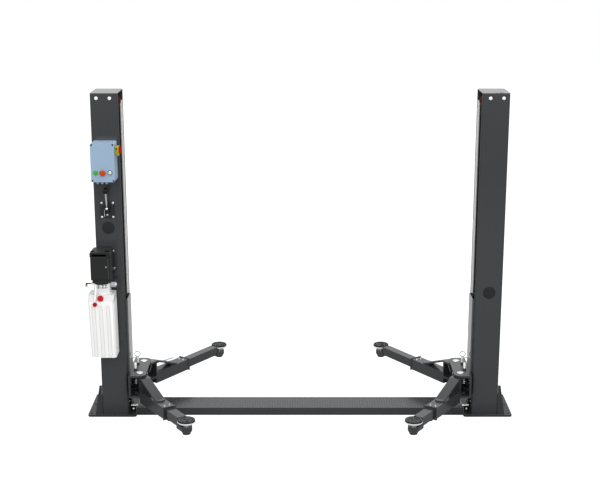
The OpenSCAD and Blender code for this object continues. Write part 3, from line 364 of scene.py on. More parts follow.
# Painted highlight: a lighter black for the rib on the motor cover.
rib_highlight_plastic = moulded("worn black edge", (0.045, 0.046, 0.046), 0.45)
grey_cast = moulded("greyer cast end", (0.42, 0.42, 0.44), 0.4)
plate_paint = moulded("base plate paint", (0.030, 0.032, 0.033), 0.42, 0.28)
# Painted highlight: a pale lavender for a bar along the top of the back left arm.
highlight_bar_paint = moulded("pale lavender bar", (0.42, 0.42, 0.50), 0.40)
brown_plastic = moulded("brown mark", (0.10, 0.02, 0.01), 0.5)
pale_tip = moulded("pale yellow lever tip", (0.62, 0.60, 0.42), 0.45)
strip_plastic = moulded("white guide strip", (0.93, 0.93, 0.93), 0.45)
rubber = dusty_rubber("pad rubber", (0.006, 0.0062, 0.0065), (0.022, 0.022, 0.023))
print("Rubber and plastics ready")

# %% [markdown]
# ## The camera
# The photograph was taken from about 10 m in front of the lift and 4 m up, looking down by 14
# degrees. A long lens keeps the columns nearly upright. These values come from the picture's own
# straight edges.

# %% Camera
CAMERA_BACK = 10.2245
CAMERA_UP = 4.0674
CAMERA_PITCH = math.radians(14.3056)
CAMERA_LENS = 73.83
camera_data = bpy.data.cameras.new("photo camera")
camera_data.lens = CAMERA_LENS
camera_data.sensor_width = 36.0
camera_data.sensor_fit = "HORIZONTAL"
camera = bpy.data.objects.new("photo_camera", camera_data)
camera.location = (0.0, -CAMERA_BACK, CAMERA_UP)
camera.rotation_euler = (math.pi / 2 - CAMERA_PITCH, 0.0, 0.0)
bpy.context.collection.objects.link(camera)
bpy.context.scene.camera = camera
bpy.context.scene.view_settings.view_transform = "Standard"
print("Camera at", [round(part, 3) for part in camera.location])

# %% [markdown]
# ## Light and floor
# The picture is a studio shot on pure white. A large soft lamp above makes the tops of the arms
# pale, and a weaker pair beside the camera opens up the fronts. The white comes from what the camera
# and mirrors see of the world and the floor, not from more light. A part of the floor's white stays
# diffuse, so that the lift keeps a faint shadow where it stands.

# %% World, lamps and floor
WORLD_FILL = 0.80
FLOOR_SHADOW_SHARE = 0.35
FLOOR_GLOW = 0.88
FLOOR_BOUNCE = 0.42


def seen_directly(builder, ways=("Is Camera Ray", "Is Glossy Ray", "Is Transmission Ray")):
    """1 where the camera, a mirror or clear glass looks, and 0 for other light."""
    path = builder.tree.nodes.new("ShaderNodeLightPath")
    total = Value(builder, path.outputs[ways[0]])
    for way in ways[1:]:
        total = total + Value(builder, path.outputs[way])
    return total.math("MINIMUM", total, 1.0)


def white_world():
    """A white surrounding with a plain level of fill light."""
    world = bpy.data.worlds.new("white studio")
    world.use_nodes = True
    world.node_tree.nodes.clear()
    builder = Builder(world.node_tree)
    strength = seen_directly(builder) * (1 - WORLD_FILL) + WORLD_FILL
    light = builder.node("ShaderNodeBackground",
                         inputs={"Color": (1, 1, 1, 1), "Strength": strength})
    builder.node("ShaderNodeOutputWorld", inputs={"Surface": light})
    bpy.context.scene.world = world


def soft_lamp(name, place, target, size, power):
    """A square lamp that points at a place."""
    data = bpy.data.lights.new(name, "AREA")
    data.shape = "RECTANGLE"
    data.size, data.size_y = size
    data.energy = power
    lamp = bpy.data.objects.new(name, data)
    lamp.location = place
    lamp.rotation_euler = (Vector(target) - Vector(place)).to_track_quat("-Z", "Y").to_euler()
    bpy.context.collection.objects.link(lamp)


white_world()
soft_lamp("lamp_above", (0.0, -0.6, 7.5), (0.0, 0.2, 0.0), (7.0, 5.0), 250.0)
soft_lamp("lamp_left", (-3.5, -8.0, 5.5), (0.0, 0.0, 1.2), (4.0, 3.0), 190.0)
soft_lamp("lamp_right", (3.5, -8.0, 5.5), (0.0, 0.0, 1.2), (4.0, 3.0), 190.0)
print("Lamps:", [item.name for item in bpy.data.lights])

# %% Floor
floor_finish = bpy.data.materials.new("studio floor")
floor_finish.use_nodes = True
floor_finish.node_tree.nodes.clear()
floor_nodes = Builder(floor_finish.node_tree)
matt_white = floor_nodes.node("ShaderNodeBsdfDiffuse", inputs={"Color": (*[FLOOR_BOUNCE] * 3, 1)})
shadow_part = floor_nodes.node(
    "ShaderNodeBsdfDiffuse", inputs={"Color": (*[FLOOR_SHADOW_SHARE] * 3, 1)})
plain_white = floor_nodes.node("ShaderNodeEmission", inputs={"Strength": FLOOR_GLOW})
glowing = floor_nodes.node("ShaderNodeAddShader", inputs={0: plain_white, 1: shadow_part})
FLOOR_WAYS = ("Is Camera Ray", "Is Transmission Ray")
floor_mix = floor_nodes.node(
    "ShaderNodeMixShader", inputs={0: seen_directly(floor_nodes, FLOOR_WAYS), 1: matt_white, 2: glowing})
floor_nodes.node("ShaderNodeOutputMaterial", inputs={"Surface": floor_mix})
floor_mesh = bpy.data.meshes.new("floor")
FLOOR_HALF = 30.0
floor_mesh.from_pydata([(x, y, -0.5 * MM) for x, y in
                        ((-FLOOR_HALF, -FLOOR_HALF), (FLOOR_HALF, -FLOOR_HALF),
                         (FLOOR_HALF, FLOOR_HALF), (-FLOOR_HALF, FLOOR_HALF))],
                       [], [(0, 1, 2, 3)])
floor_mesh.materials.append(floor_finish)
floor = bpy.data.objects.new("floor", floor_mesh)
bpy.context.collection.objects.link(floor)
print("Floor laid")

# %% [markdown]
# ## From CAD node to finished piece
# A CAD mesh is loose triangles with razor-sharp edges, and real steel has none. So each node is
# copied, its doubles are merged, its flat faces are joined again, and a Bevel modifier rounds every
# edge by a millimetre or more. Weighted normals then let the big flat faces decide the shading, so
# that they stay flat up to the rounding. The copy stands for the node and rides on the same body.

# %% Helpers that finish a piece
def finished(name, mesh, material, body, stands_for=()):
    """Puts a mesh in the scene as a piece of the lift."""
    made = bpy.data.objects.new(name, mesh)
    bpy.context.collection.objects.link(made)
    if material is not None:
        mesh.materials.clear()
        mesh.materials.append(material)
    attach(made, body)
    if stands_for:
        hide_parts(*stands_for)
    return made


def from_bmesh(name, shape, smooth_below=20.0):
    """A mesh from a bmesh, smooth across the slight turns of round faces."""
    mesh = bpy.data.meshes.new(name)
    shape.to_mesh(mesh)
    shape.free()
    mesh.shade_smooth()
    mesh.set_sharp_from_angle(angle=math.radians(smooth_below))
    return mesh


def applied(mesh, change):
    """The mesh after one modifier, which the change function adds and sets."""
    carrier = bpy.data.objects.new("carrier", mesh)
    bpy.context.collection.objects.link(carrier)
    change(carrier)
    graph = bpy.context.evaluated_depsgraph_get()
    result = bpy.data.meshes.new_from_object(carrier.evaluated_get(graph), depsgraph=graph)
    bpy.data.objects.remove(carrier)
    return result


def merged_copy(node):
    """A node's mesh as a bmesh of whole faces."""
    shape = bmesh.new()
    for vertex in nodes[node].data.vertices:
        shape.verts.new(vertex.co)
    shape.verts.ensure_lookup_table()
    for polygon in nodes[node].data.polygons:
        shape.faces.new([shape.verts[index] for index in polygon.vertices])
    bmesh.ops.remove_doubles(shape, verts=shape.verts, dist=0.02 * MM)
    bmesh.ops.dissolve_limit(shape, angle_limit=math.radians(0.5), use_dissolve_boundaries=False,
                             verts=shape.verts, edges=shape.edges)
    return shape


def round_edges(mesh, width, segments=2):
    """The mesh with its sharp edges rounded."""
    def add_bevel(carrier):
        bevel = carrier.modifiers.new("Rounded edges", "BEVEL")
        bevel.width = width
        bevel.segments = segments
        bevel.limit_method = "ANGLE"
        bevel.angle_limit = math.radians(32)
        flat = carrier.modifiers.new("Flat faces stay flat", "WEIGHTED_NORMAL")
        flat.mode = "FACE_AREA"
        flat.weight = 60
    mesh.shade_smooth()
    return applied(mesh, add_bevel)


def dress(node, material, width=1.5 * MM, segments=2, keep=None):
    """A node's rounded copy, with its finish; keep can leave some of its faces out."""
    shape = merged_copy(node)
    if keep:
        rest = [face for face in shape.faces if not keep(face.calc_center_median())]
        bmesh.ops.delete(shape, geom=rest, context="FACES")
    mesh = from_bmesh(node + "_rounded", shape)
    mesh = round_edges(mesh, width, segments)
    body = nodes[node]["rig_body"]
    return finished(node + "_dressed", mesh, material, body, (node,))


# %% Columns, plates, carriages and arms
DARK_STEEL = ["floor_beam", "column_caps", "lifting_cylinders", "motor_bracket"]
for side in SIDES:
    DARK_STEEL += [f"{kind}_{side}" for kind in ("base_plate", "column", "carriage", "arm_bracket")]
for end, side in ARMS:
    DARK_STEEL += [f"{kind}_{end}_{side}" for kind in ("arm", "extension")]
for node in DARK_STEEL:
    paint = carriage_sheen_paint if node.startswith("carriage") else dark_paint
    paint = column_paint if node in ("column_left", "column_right") else paint
    paint = plate_paint if node.startswith("base_plate") else paint
    dress(node, paint, 1.8 * MM)
print("Painted steel pieces:", len(DARK_STEEL))

# %% [markdown]
# The tank is thin translucent plastic. Its shoulder is painted a little greyer as shade, and the
# walls of its moulded grooves get a faint painted shade. Both follow from the place on the tank: how
# high a point is, and how far it lies behind the front face.

# %% Finish of the oil tank
def tank_moulding_painted_shade(name):
    """White moulding with painted shade, greyer on the shoulder and on the groove walls."""
    low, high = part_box("oil_tank")
    shoulder = high.z - 60 * MM
    finish = Finish(name)
    split = finish.node("ShaderNodeSeparateXYZ", inputs={"Vector": finish.place})
    across, height = split.output_named("Y"), split.output_named("Z")
    # Painted shade on the shoulder: grey from just under its foot upward.
    painted_shoulder_shade = height.ramp(shoulder - 2 * MM, shoulder + 10 * MM)
    # Painted shade on the groove walls, 0.6 to 6.6 mm behind the front face, below the shoulder.
    wall = across.ramp(low.y + 0.6 * MM, low.y + 2.5 * MM) * (1 - painted_shoulder_shade)
    wall = wall * (1 - across.ramp(low.y + 4.5 * MM, low.y + 6.6 * MM))
    grey = finish.node("ShaderNodeMath", {"operation": "MAXIMUM"},
                       {0: painted_shoulder_shade * 0.30, 1: wall * 0.10})
    return finish.close(
        Base_Color=finish.node("ShaderNodeMix", {"data_type": "RGBA"},
                               {"Factor": grey, 6: (0.90, 0.90, 0.895, 1), 7: (0, 0, 0, 1)},
                               output=2),
        Roughness=0.36,
    )


tank_plastic = tank_moulding_painted_shade("translucent white tank")
print("Tank finish made")

# %% Bright, moulded and other small nodes
dress("guide_strips", strip_plastic, 0.8 * MM, 2, lambda place: place.y > 0)
dress("guide_strips", black_plastic, 0.8 * MM, 2, lambda place: place.y < 0)
dress("access_plugs", black_plastic, 1.2 * MM)
dress("control_box", box_paint, 2.0 * MM)
dress("box_lid", box_paint, 3.5 * MM, 3)
dress("lock_bracket", black_paint, 1.0 * MM)
dress("motor", black_plastic, 4.0 * MM, 3)
dress("valve_block", cast_aluminium, 1.5 * MM, 2, lambda place: place.x < -1.575)
dress("valve_block", grey_cast, 1.5 * MM, 2, lambda place: place.x >= -1.575)
tank = dress("oil_tank", tank_plastic, 5.0 * MM, 3)
tank_low, tank_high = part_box("oil_tank")
for corner in tank.data.vertices:
    share = (corner.co.z - tank_low.z) / (tank_high.z - tank_low.z)
    inward = (corner.co.x - tank_low.x) / (tank_high.x - tank_low.x)
    corner.co.x -= share * (13 * MM - 8 * MM * inward)
    if 0.06 < inward < 0.94 and share < 0.85 and corner.co.y < tank_low.y + 7 * MM:
        corner.co.y = tank_low.y
tank.data.update()
dress("filler_caps", red_plastic, 1.5 * MM)
dress("return_tube", white_plastic, 0.5 * MM)
dress("switch_plate", yellow_plastic, 2.5 * MM)
dress("lowering_lever", black_plastic, 1.2 * MM)
for side in SIDES:
    dress(f"ram_{side}", bright_steel, 0.8 * MM)
for end, side in ARMS:
    dress(f"pad_screw_{end}_{side}", bright_steel, 1.0 * MM)
print("Small nodes dressed")

# %% [markdown]
# ## Screws, bolts and nuts
# The lift is held together by dozens of hexagon screws on washers. One Geometry Nodes tree makes
# them all: it puts a head and a washer on every point of a mesh, turned to face one way. Its sizes
# are inputs, so the same tree serves a small cover screw and a big column bolt.

# %% A class for Geometry Nodes trees
class Pattern(Builder):
    """A Geometry Nodes tree with named sizes."""

    def __init__(self, name, sizes):
        super().__init__(bpy.data.node_groups.new(name, "GeometryNodeTree"))
        face = self.tree.interface
        face.new_socket("Geometry", in_out="INPUT", socket_type="NodeSocketGeometry")
        face.new_socket("Geometry", in_out="OUTPUT", socket_type="NodeSocketGeometry")
        face.new_socket("Finish", in_out="INPUT", socket_type="NodeSocketMaterial")
        for size, start in sizes.items():
            kind = "NodeSocketVector" if isinstance(start, tuple) else "NodeSocketFloat"
            if isinstance(start, int):
                kind = "NodeSocketInt"
            face.new_socket(size, in_out="INPUT", socket_type=kind).default_value = start
        self.entry = self.tree.nodes.new("NodeGroupInput")

    def size(self, name):
        """One of the tree's inputs."""
        return Value(self, self.entry.outputs[name])

    def close(self, instances):
        """Ends the tree: real geometry, one finish."""
        real = self.node("GeometryNodeRealizeInstances", inputs={"Geometry": instances})
        painted = self.node("GeometryNodeSetMaterial",
                            inputs={"Geometry": real, "Material": self.size("Finish")})
        self.node("NodeGroupOutput", inputs={"Geometry": painted})

    def run(self, mesh, finish, **sizes):
        """The tree's result on a mesh, as a plain mesh."""
        def add_tree(carrier):
            modifier = carrier.modifiers.new("Pattern", "NODES")
            modifier.node_group = self.tree
            values = {"Finish": finish}
            values.update({name.replace("_", " "): value for name, value in sizes.items()})
            for item in self.tree.interface.items_tree:
                if item.in_out == "INPUT" and item.name in values:
                    modifier[item.identifier] = values[item.name]
        return applied(mesh, add_tree)


def points_mesh(points):
    """A mesh of loose points."""
    mesh = bpy.data.meshes.new("points")
    mesh.from_pydata([tuple(point) for point in points], [], [])
    return mesh


# %% The screw tree
def screw_tree():
    """A head of a few sides on a round washer, on every point."""
    tree = Pattern("screw heads", {"Facing": (0.0, 0.0, 1.0), "Head Radius": 0.01,
                                   "Head Height": 0.007, "Washer Radius": 0.014,
                                   "Washer Height": 0.002, "Sides": 6})
    washer = tree.node("GeometryNodeMeshCone",
                       inputs={"Vertices": 20, "Radius Top": tree.size("Washer Radius"),
                               "Radius Bottom": tree.size("Washer Radius"),
                               "Depth": tree.size("Washer Height")})
    head = tree.node("GeometryNodeMeshCone",
                     inputs={"Vertices": tree.size("Sides"),
                             "Radius Top": tree.size("Head Radius") * 0.86,
                             "Radius Bottom": tree.size("Head Radius"),
                             "Depth": tree.size("Head Height")})
    lift = tree.node("ShaderNodeCombineXYZ", inputs={"Z": tree.size("Washer Height")})
    raised = tree.node("GeometryNodeTransform", inputs={"Geometry": head, "Translation": lift})
    both = tree.node("GeometryNodeJoinGeometry", inputs={"Geometry": [washer, raised]})
    turn = tree.node("FunctionNodeAlignRotationToVector", {"axis": "Z"},
                     {"Vector": tree.size("Facing")})
    placed = tree.node("GeometryNodeInstanceOnPoints",
                       inputs={"Points": Value(tree, tree.entry.outputs["Geometry"]),
                               "Instance": both, "Rotation": turn})
    tree.close(placed)
    return tree


screws = screw_tree()


def screw_row(name, points, facing, diameter, finish, body, sides=6, washer=1.35,
              height=0.55):
    """Screws of one size that face one way, as one piece."""
    mesh = screws.run(points_mesh(points), finish, Facing=facing,
                      Head_Radius=diameter / 2, Head_Height=diameter / 2 * height,
                      Washer_Radius=diameter / 2 * washer, Washer_Height=diameter * 0.08,
                      Sides=sides)
    mesh.shade_smooth()
    mesh.set_sharp_from_angle(angle=math.radians(25))
    return finished(name, mesh, None, body)


print("Screw tree has", len(screws.tree.nodes), "nodes")

# %% Screws on the columns and the control box
FRONT, BACKWARDS, UP = (0.0, -1.0, 0.0), (0.0, 1.0, 0.0), (0.0, 0.0, 1.0)
column_low, column_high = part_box("column_right")
cap_bolts = [(side * x, column_low.y, column_high.z - 35 * MM)
             for side in SIDES.values() for x in (1.560, 1.669)]
screw_row("cap_bolts_front", cap_bolts, FRONT, 20 * MM, white_plastic, "root", 6, 1.4)
back_bolts = [(x, -y, z) for x, y, z in cap_bolts]
screw_row("cap_bolts_back", back_bolts, BACKWARDS, 22 * MM, zinc, "root", 6, 1.4)
lid_low, lid_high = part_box("box_lid")
LID_SCREW_INSET = 11 * MM
lid_screws = [(x, lid_low.y, z)
              for x in (lid_low.x + LID_SCREW_INSET, lid_high.x - LID_SCREW_INSET)
              for z in (lid_low.z + LID_SCREW_INSET, lid_high.z - LID_SCREW_INSET)]
screw_row("lid_screws", lid_screws, FRONT, 13 * MM, black_plastic, "root", 16, 1.2)
plate_low, plate_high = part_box("lock_bracket")
plate_middle = (plate_low + plate_high) / 2
lever_screws = [(plate_middle.x + x, column_low.y - 6 * MM, plate_middle.z + z)
                for x in (-47.5 * MM, 47.5 * MM) for z in (-60 * MM, 60 * MM)]
screw_row("lock_plate_screws", lever_screws, FRONT, 14 * MM, zinc, "root")
print("Column bolts:", len(cap_bolts) * 2)

# %% Screws on the motor bracket and the arms
bracket_low, bracket_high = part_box("motor_bracket")
bracket_bolts = [(x, column_low.y - 6 * MM, z)
                 for x in (bracket_high.x - 21 * MM, bracket_low.x + 21 * MM)
                 for z in (1.497, 1.345)]
screw_row("motor_bolts", bracket_bolts, FRONT, 18 * MM, zinc, "root", 6, 1.25)
COLLAR_BOLT_AT = 0.512
COLLAR_BOLT_SPREAD = 23 * MM
for end, side in ARMS:
    pin = Vector(joints[f"swing_{end}_{side}"]["pos_m"])
    along = Vector(joints[f"reach_{end}_{side}"]["axis"]).normalized()
    if along.x * SIDES[side] > 0:
        along = -along
    across = along.cross(Vector(UP))
    arm_low, arm_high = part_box(f"arm_{end}_{side}")
    top = Vector((0, 0, 0.270 - pin.z))
    collar = [pin + along * COLLAR_BOLT_AT + across * spread + top
              for spread in (-COLLAR_BOLT_SPREAD, COLLAR_BOLT_SPREAD)]
    screw_row(f"collar_bolts_{end}_{side}", collar, UP, 14 * MM, zinc, f"arm_{end}_{side}",
              6, 1.2, 0.8)
print("Arm bolts placed from the joints")

# %% [markdown]
# ## Tread plate
# The floor beam is folded from tread plate, so that nobody slips on it. Its raised lozenges lie in
# rows, each turned a quarter against its neighbours. A grid gives the places, and whether column
# plus row is odd gives the turn: a checkerboard rule in two Math nodes.

# %% The tread tree
def tread_tree():
    """Lozenges on a grid, turned one way or the other like a chessboard's fields."""
    tree = Pattern("tread lozenges", {"Length": 1.0, "Width": 0.2, "Pitch": 0.022,
                                      "Lozenge Length": 0.024, "Lozenge Width": 0.006,
                                      "Lozenge Height": 0.0007})
    pitch = tree.size("Pitch")
    columns = (tree.size("Length") / pitch).floor()
    rows = (tree.size("Width") / pitch).floor()
    grid = tree.node("GeometryNodeMeshGrid",
                     inputs={"Size X": pitch * (columns - 1.0), "Size Y": pitch * (rows - 1.0),
                             "Vertices X": columns, "Vertices Y": rows})
    index = tree.node("GeometryNodeInputIndex")
    odd = ((index / rows).floor() + index % rows) % 2.0
    turn = tree.node("ShaderNodeCombineXYZ", inputs={"Z": (odd - 0.5) * (math.pi / 2)})
    ball = tree.node("GeometryNodeMeshUVSphere", inputs={"Segments": 8, "Rings": 4, "Radius": 0.5})
    shape = tree.node("ShaderNodeCombineXYZ", inputs={"X": tree.size("Lozenge Length"),
                                                      "Y": tree.size("Lozenge Width"),
                                                      "Z": tree.size("Lozenge Height") * 2.0})
    lozenge = tree.node("GeometryNodeTransform", inputs={"Geometry": ball, "Scale": shape})
    placed = tree.node("GeometryNodeInstanceOnPoints",
                       inputs={"Points": grid, "Instance": lozenge, "Rotation": turn})
    tree.close(placed)
    return tree


tread = tread_tree()
beam_low, beam_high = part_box("floor_beam")


def tread_face(name, length, width, place):
    """Tread over one level face of the beam."""
    mesh = tread.run(points_mesh([(0, 0, 0)]), tread_paint, Length=length, Width=width)
    mesh.transform(Matrix.Translation(place))
    mesh.shade_smooth()
    finished(name, mesh, None, "root")
    return len(mesh.polygons)


beam_length = beam_high.x - beam_low.x
beam_depth = beam_high.y - beam_low.y
made = tread_face("tread_top", beam_length - 0.01, beam_depth - 0.008,
                  (0, 0, beam_high.z))
print("Faces of tread on top:", made)

# %% [markdown]
# ## Weld beads
# Plates are joined by fillet welds, which look like a row of small overlapping scales. A tree walks
# along the edges of a path and drops a ball every few millimetres, each a little bigger or smaller.

# %% The weld tree
def weld_tree():
    """Overlapping scales along a path."""
    tree = Pattern("weld bead", {"Step": 0.006, "Bead Radius": 0.005, "Seed": 4})
    curve = tree.node("GeometryNodeMeshToCurve",
                      inputs={"Mesh": Value(tree, tree.entry.outputs["Geometry"])})
    steps = tree.node("GeometryNodeResampleCurve", {"mode": "LENGTH"},
                      {"Curve": curve, "Length": tree.size("Step")})
    scale = tree.node("FunctionNodeRandomValue", {"data_type": "FLOAT"},
                      {2: 0.85, 3: 1.15, "Seed": tree.size("Seed")}, output=1)
    ball = tree.node("GeometryNodeMeshIcoSphere",
                     inputs={"Radius": tree.size("Bead Radius"), "Subdivisions": 1})
    placed = tree.node("GeometryNodeInstanceOnPoints",
                       inputs={"Points": steps, "Instance": ball, "Scale": scale})
    tree.close(placed)
    return tree


welds = weld_tree()


def weld_lines(name, paths, body, radius=4.5 * MM):
    """Welds along several paths of points, as one piece."""
    points, edges = [], []
    for path in paths:
        start = len(points)
        points += [tuple(point) for point in path]
        edges += [(start + i, start + i + 1) for i in range(len(path) - 1)]
    mesh = bpy.data.meshes.new("paths")
    mesh.from_pydata(points, edges, [])
    bead = welds.run(mesh, dark_paint, Bead_Radius=radius, Step=radius * 1.1)
    bead.shade_smooth()
    return finished(name, bead, None, body)


# %% Welds at the foot of each column
foot_z = column_low.z
for side, sign in SIDES.items():
    low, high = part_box(f"column_{side}")
    inner = low.x if sign > 0 else high.x
    outer = high.x if sign > 0 else low.x
    corners = [(inner, low.y, foot_z), (outer, low.y, foot_z),
               (outer, high.y, foot_z), (inner, high.y, foot_z)]
    rib_reach = outer + sign * 60 * MM
    ribs = [[(outer, y, foot_z), (rib_reach, y, foot_z)]
            for y in (low.y - 1 * MM, high.y + 1 * MM)]
    weld_lines(f"foot_welds_{side}", [corners] + ribs, "root", 4 * MM)
print("Feet welded")

# %% Welds on the arms and brackets
for end, side in ARMS:
    pin = Vector(joints[f"swing_{end}_{side}"]["pos_m"])
    along = Vector(joints[f"reach_{end}_{side}"]["axis"]).normalized()
    if along.x * SIDES[side] > 0:
        along = -along
    across = along.cross(Vector(UP))
    rise = 0.270 - pin.z
    foot = pin + along * 0.376 + Vector((0, 0, rise))
    arc = [foot + along * math.cos(math.radians(a)) * 0.044 + across * math.sin(math.radians(a)) * 0.044
           for a in range(-90, 91, 15)]
    collar = [pin + along * 0.547 + across * (s * 0.0535) + Vector((0, 0, z - pin.z))
              for s, z in ((-1, 0.172), (-1, 0.270), (1, 0.270), (1, 0.172))]
    weld_lines(f"arm_welds_{end}_{side}", [arc, collar], f"arm_{end}_{side}", 3.2 * MM)
for side, sign in SIDES.items():
    low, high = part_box(f"arm_bracket_{side}")
    wall = (high.x if sign < 0 else low.x) - sign * 17 * MM
    lines = [[(wall, -0.082, z), (wall, 0.082, z)]
             for z in (low.z + 17.5 * MM, 0.402 - 17.5 * MM)]
    weld_lines(f"bracket_welds_{side}", lines, f"carriage_{side}", 4 * MM)
print("Arms and brackets welded")

# %% [markdown]
# ## Turned and bent parts
# Knobs, caps, fittings and bezels are turned parts: a profile goes round an axis. A short helper
# spins a list of radius and height pairs, and a second one bends a round rod along a path.

# %% Helpers for turned parts and bent rods
def turned(profile, place, axis=(0, 0, 1), sides=32):
    """A closed round shape, from radius and height pairs, set on an axis at a place."""
    shape = bmesh.new()
    rings = []
    for radius, height in profile:
        if radius < 1e-6:
            rings.append([shape.verts.new((0, 0, height))])
        else:
            rings.append([shape.verts.new((radius * math.cos(2 * math.pi * i / sides),
                                           radius * math.sin(2 * math.pi * i / sides), height))
                          for i in range(sides)])
    for lower, upper in zip(rings, rings[1:]):
        for i in range(sides):
            k = (i + 1) % sides
            corners = [lower[i % len(lower)], lower[k % len(lower)],
                       upper[k % len(upper)], upper[i % len(upper)]]
            unique = list(dict.fromkeys(corners))
            if len(unique) > 2:
                shape.faces.new(unique)
    for ring in (rings[0], rings[-1]):
        if len(ring) > 1:
            shape.faces.new(ring)
    bmesh.ops.recalc_face_normals(shape, faces=shape.faces)
    turn = Vector(axis).normalized().to_track_quat("Z", "Y").to_matrix().to_4x4()
    shape.transform(Matrix.Translation(Vector(place)) @ turn)
    return shape


def bent_rod(points, radius, sides=14, closed=False):
    """A round rod along points, with flat ends or closed to a ring."""
    line = bpy.data.curves.new("rod", "CURVE")
    line.dimensions = "3D"
    line.bevel_depth = radius
    line.bevel_resolution = max(1, sides // 4)
    line.use_fill_caps = not closed
    spline = line.splines.new("POLY")
    spline.points.add(len(points) - 1)
    for point, place in zip(spline.points, points):
        point.co = (*place, 1.0)
    spline.use_cyclic_u = closed
    carrier = bpy.data.objects.new("rod", line)
    bpy.context.collection.objects.link(carrier)
    graph = bpy.context.evaluated_depsgraph_get()
    mesh = bpy.data.meshes.new_from_object(carrier.evaluated_get(graph), depsgraph=graph)
    bpy.data.objects.remove(carrier)
    shape = bmesh.new()
    shape.from_mesh(mesh)
    bmesh.ops.remove_doubles(shape, verts=shape.verts, dist=0.001 * MM)
    return shape


def one_piece(name, shapes, material, body, stands_for=(), smooth_below=35.0):
    """Several shapes of one finish as one piece."""
    joined = bmesh.new()
    for shape in shapes:
        part = bpy.data.meshes.new("part")
        shape.to_mesh(part)
        shape.free()
        joined.from_mesh(part)
    mesh = from_bmesh(name, joined, smooth_below)
    return finished(name, mesh, material, body, stands_for)


print("Turning and bending ready")

# %% [markdown]
# ## The control box
# The box has a dark gasket under its lid, whose black is also painted shade for the seam, cable
# glands below, and three buttons: green to start, a mushroom to stop and a white one in a dark ring.
# Real heads are crowned, so they are turned from a profile, and each stands for the plain CAD disc.

# %% Buttons and their rings
lid_front = lid_low.y


def crowned_button(node, material, profile, body):
    """A turned button head over the CAD one."""
    low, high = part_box(node)
    middle = (low + high) / 2
    shape = turned(profile, (middle.x, lid_front, middle.z), FRONT, 40)
    one_piece(node + "_crowned", [shape], material, body, (node,))
    return middle


start = crowned_button("start_button", green_plastic,
                       [(0.0, -0.009), (0.0178, -0.009), (0.0178, 0.0065), (0.0165, 0.0085),
                        (0.010, 0.0095), (0.0, 0.0098)], "start_button")
stop = crowned_button("stop_button", orange_plastic,
                      [(0.0, -0.009), (0.0148, -0.009), (0.0148, 0.014), (0.0225, 0.0165),
                       (0.0248, 0.020), (0.0245, 0.0235), (0.020, 0.0262), (0.010, 0.0272),
                       (0.0, 0.0274)], "stop_button")
lamp = crowned_button("pilot_lamp", lamp_plastic,
                      [(0.0, 0.0002), (0.0150, 0.0002), (0.0150, 0.0065), (0.0130, 0.0085),
                       (0.007, 0.0098), (0.0, 0.0102)], "root")


def bezel(place, inner, outer, height):
    """A ring round a button."""
    return turned([(inner, 0.0), (outer, 0.0), (outer, height * 0.6), (outer - 0.0012, height),
                   (inner + 0.0006, height), (inner, height * 0.8), (inner, 0.0)],
                  (place.x, lid_front, place.z), FRONT, 40)


rings = [bezel(lamp, 0.0153, 0.0190, 0.0060)]
one_piece("lamp_bezel", rings, black_plastic, "root")
collars = [bezel(start, 0.0186, 0.0208, 0.0035), bezel(stop, 0.0156, 0.0190, 0.0050)]
one_piece("button_collars", collars, box_paint, "root")
print("Buttons at height", round(start.z, 3))

# %% Gasket and cable glands
box_low, box_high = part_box("control_box")
GASKET = 2.4 * MM


def round_frame(low, high, radius, y0, y1, grow):
    """A frame with round corners, extruded along y, as a solid band."""
    shape = bmesh.new()
    outline = []
    for corner_x, corner_z, start_angle in ((high.x, high.z, 0), (low.x, high.z, 90),
                                            (low.x, low.z, 180), (high.x, low.z, 270)):
        centre_x = corner_x + (radius if corner_x == low.x else -radius)
        centre_z = corner_z + (radius if corner_z == low.z else -radius)
        for step in range(7):
            angle = math.radians(start_angle + step * 15)
            outline.append((centre_x + (radius + grow) * math.cos(angle),
                            centre_z + (radius + grow) * math.sin(angle)))
    front = [shape.verts.new((x, y0, z)) for x, z in outline]
    back = [shape.verts.new((x, y1, z)) for x, z in outline]
    count = len(outline)
    for i in range(count):
        shape.faces.new((front[i], front[(i + 1) % count], back[(i + 1) % count], back[i]))
    shape.faces.new(front)
    shape.faces.new(back)
    bmesh.ops.recalc_face_normals(shape, faces=shape.faces)
    return shape


# The gasket is a black seal, and its black band also paints the shade in the seam between lid and box.
gasket = round_frame(box_low, box_high, 14 * MM, box_low.y - GASKET / 2, box_low.y + GASKET / 2,
                     0.5 * MM)
one_piece("lid_gasket_and_seam_shade", [gasket], black_plastic, "root")
gland_y = (box_low.y + box_high.y) / 2
glands = []
for x in (1.6615, 1.624, 1.587):
    glands.append(turned([(0.0, -0.022), (0.007, -0.022), (0.0095, -0.019), (0.0105, -0.010),
                          (0.0135, -0.009), (0.0135, -0.002), (0.0155, -0.0015), (0.0155, 0.001),
                          (0.0, 0.001)], (-x, lid_low.y + 40 * MM, box_low.z), UP, 20))
one_piece("cable_glands", glands, box_paint, "root")
print("Glands:", 3)

# %% [markdown]
# ## The lock lever and the switch
# The lever that releases the arm locks is a bright rod with a black ball. It is turned about the
# lever's own lean, which the CAD box gives: the ball's middle lies over the pivot by the lean.

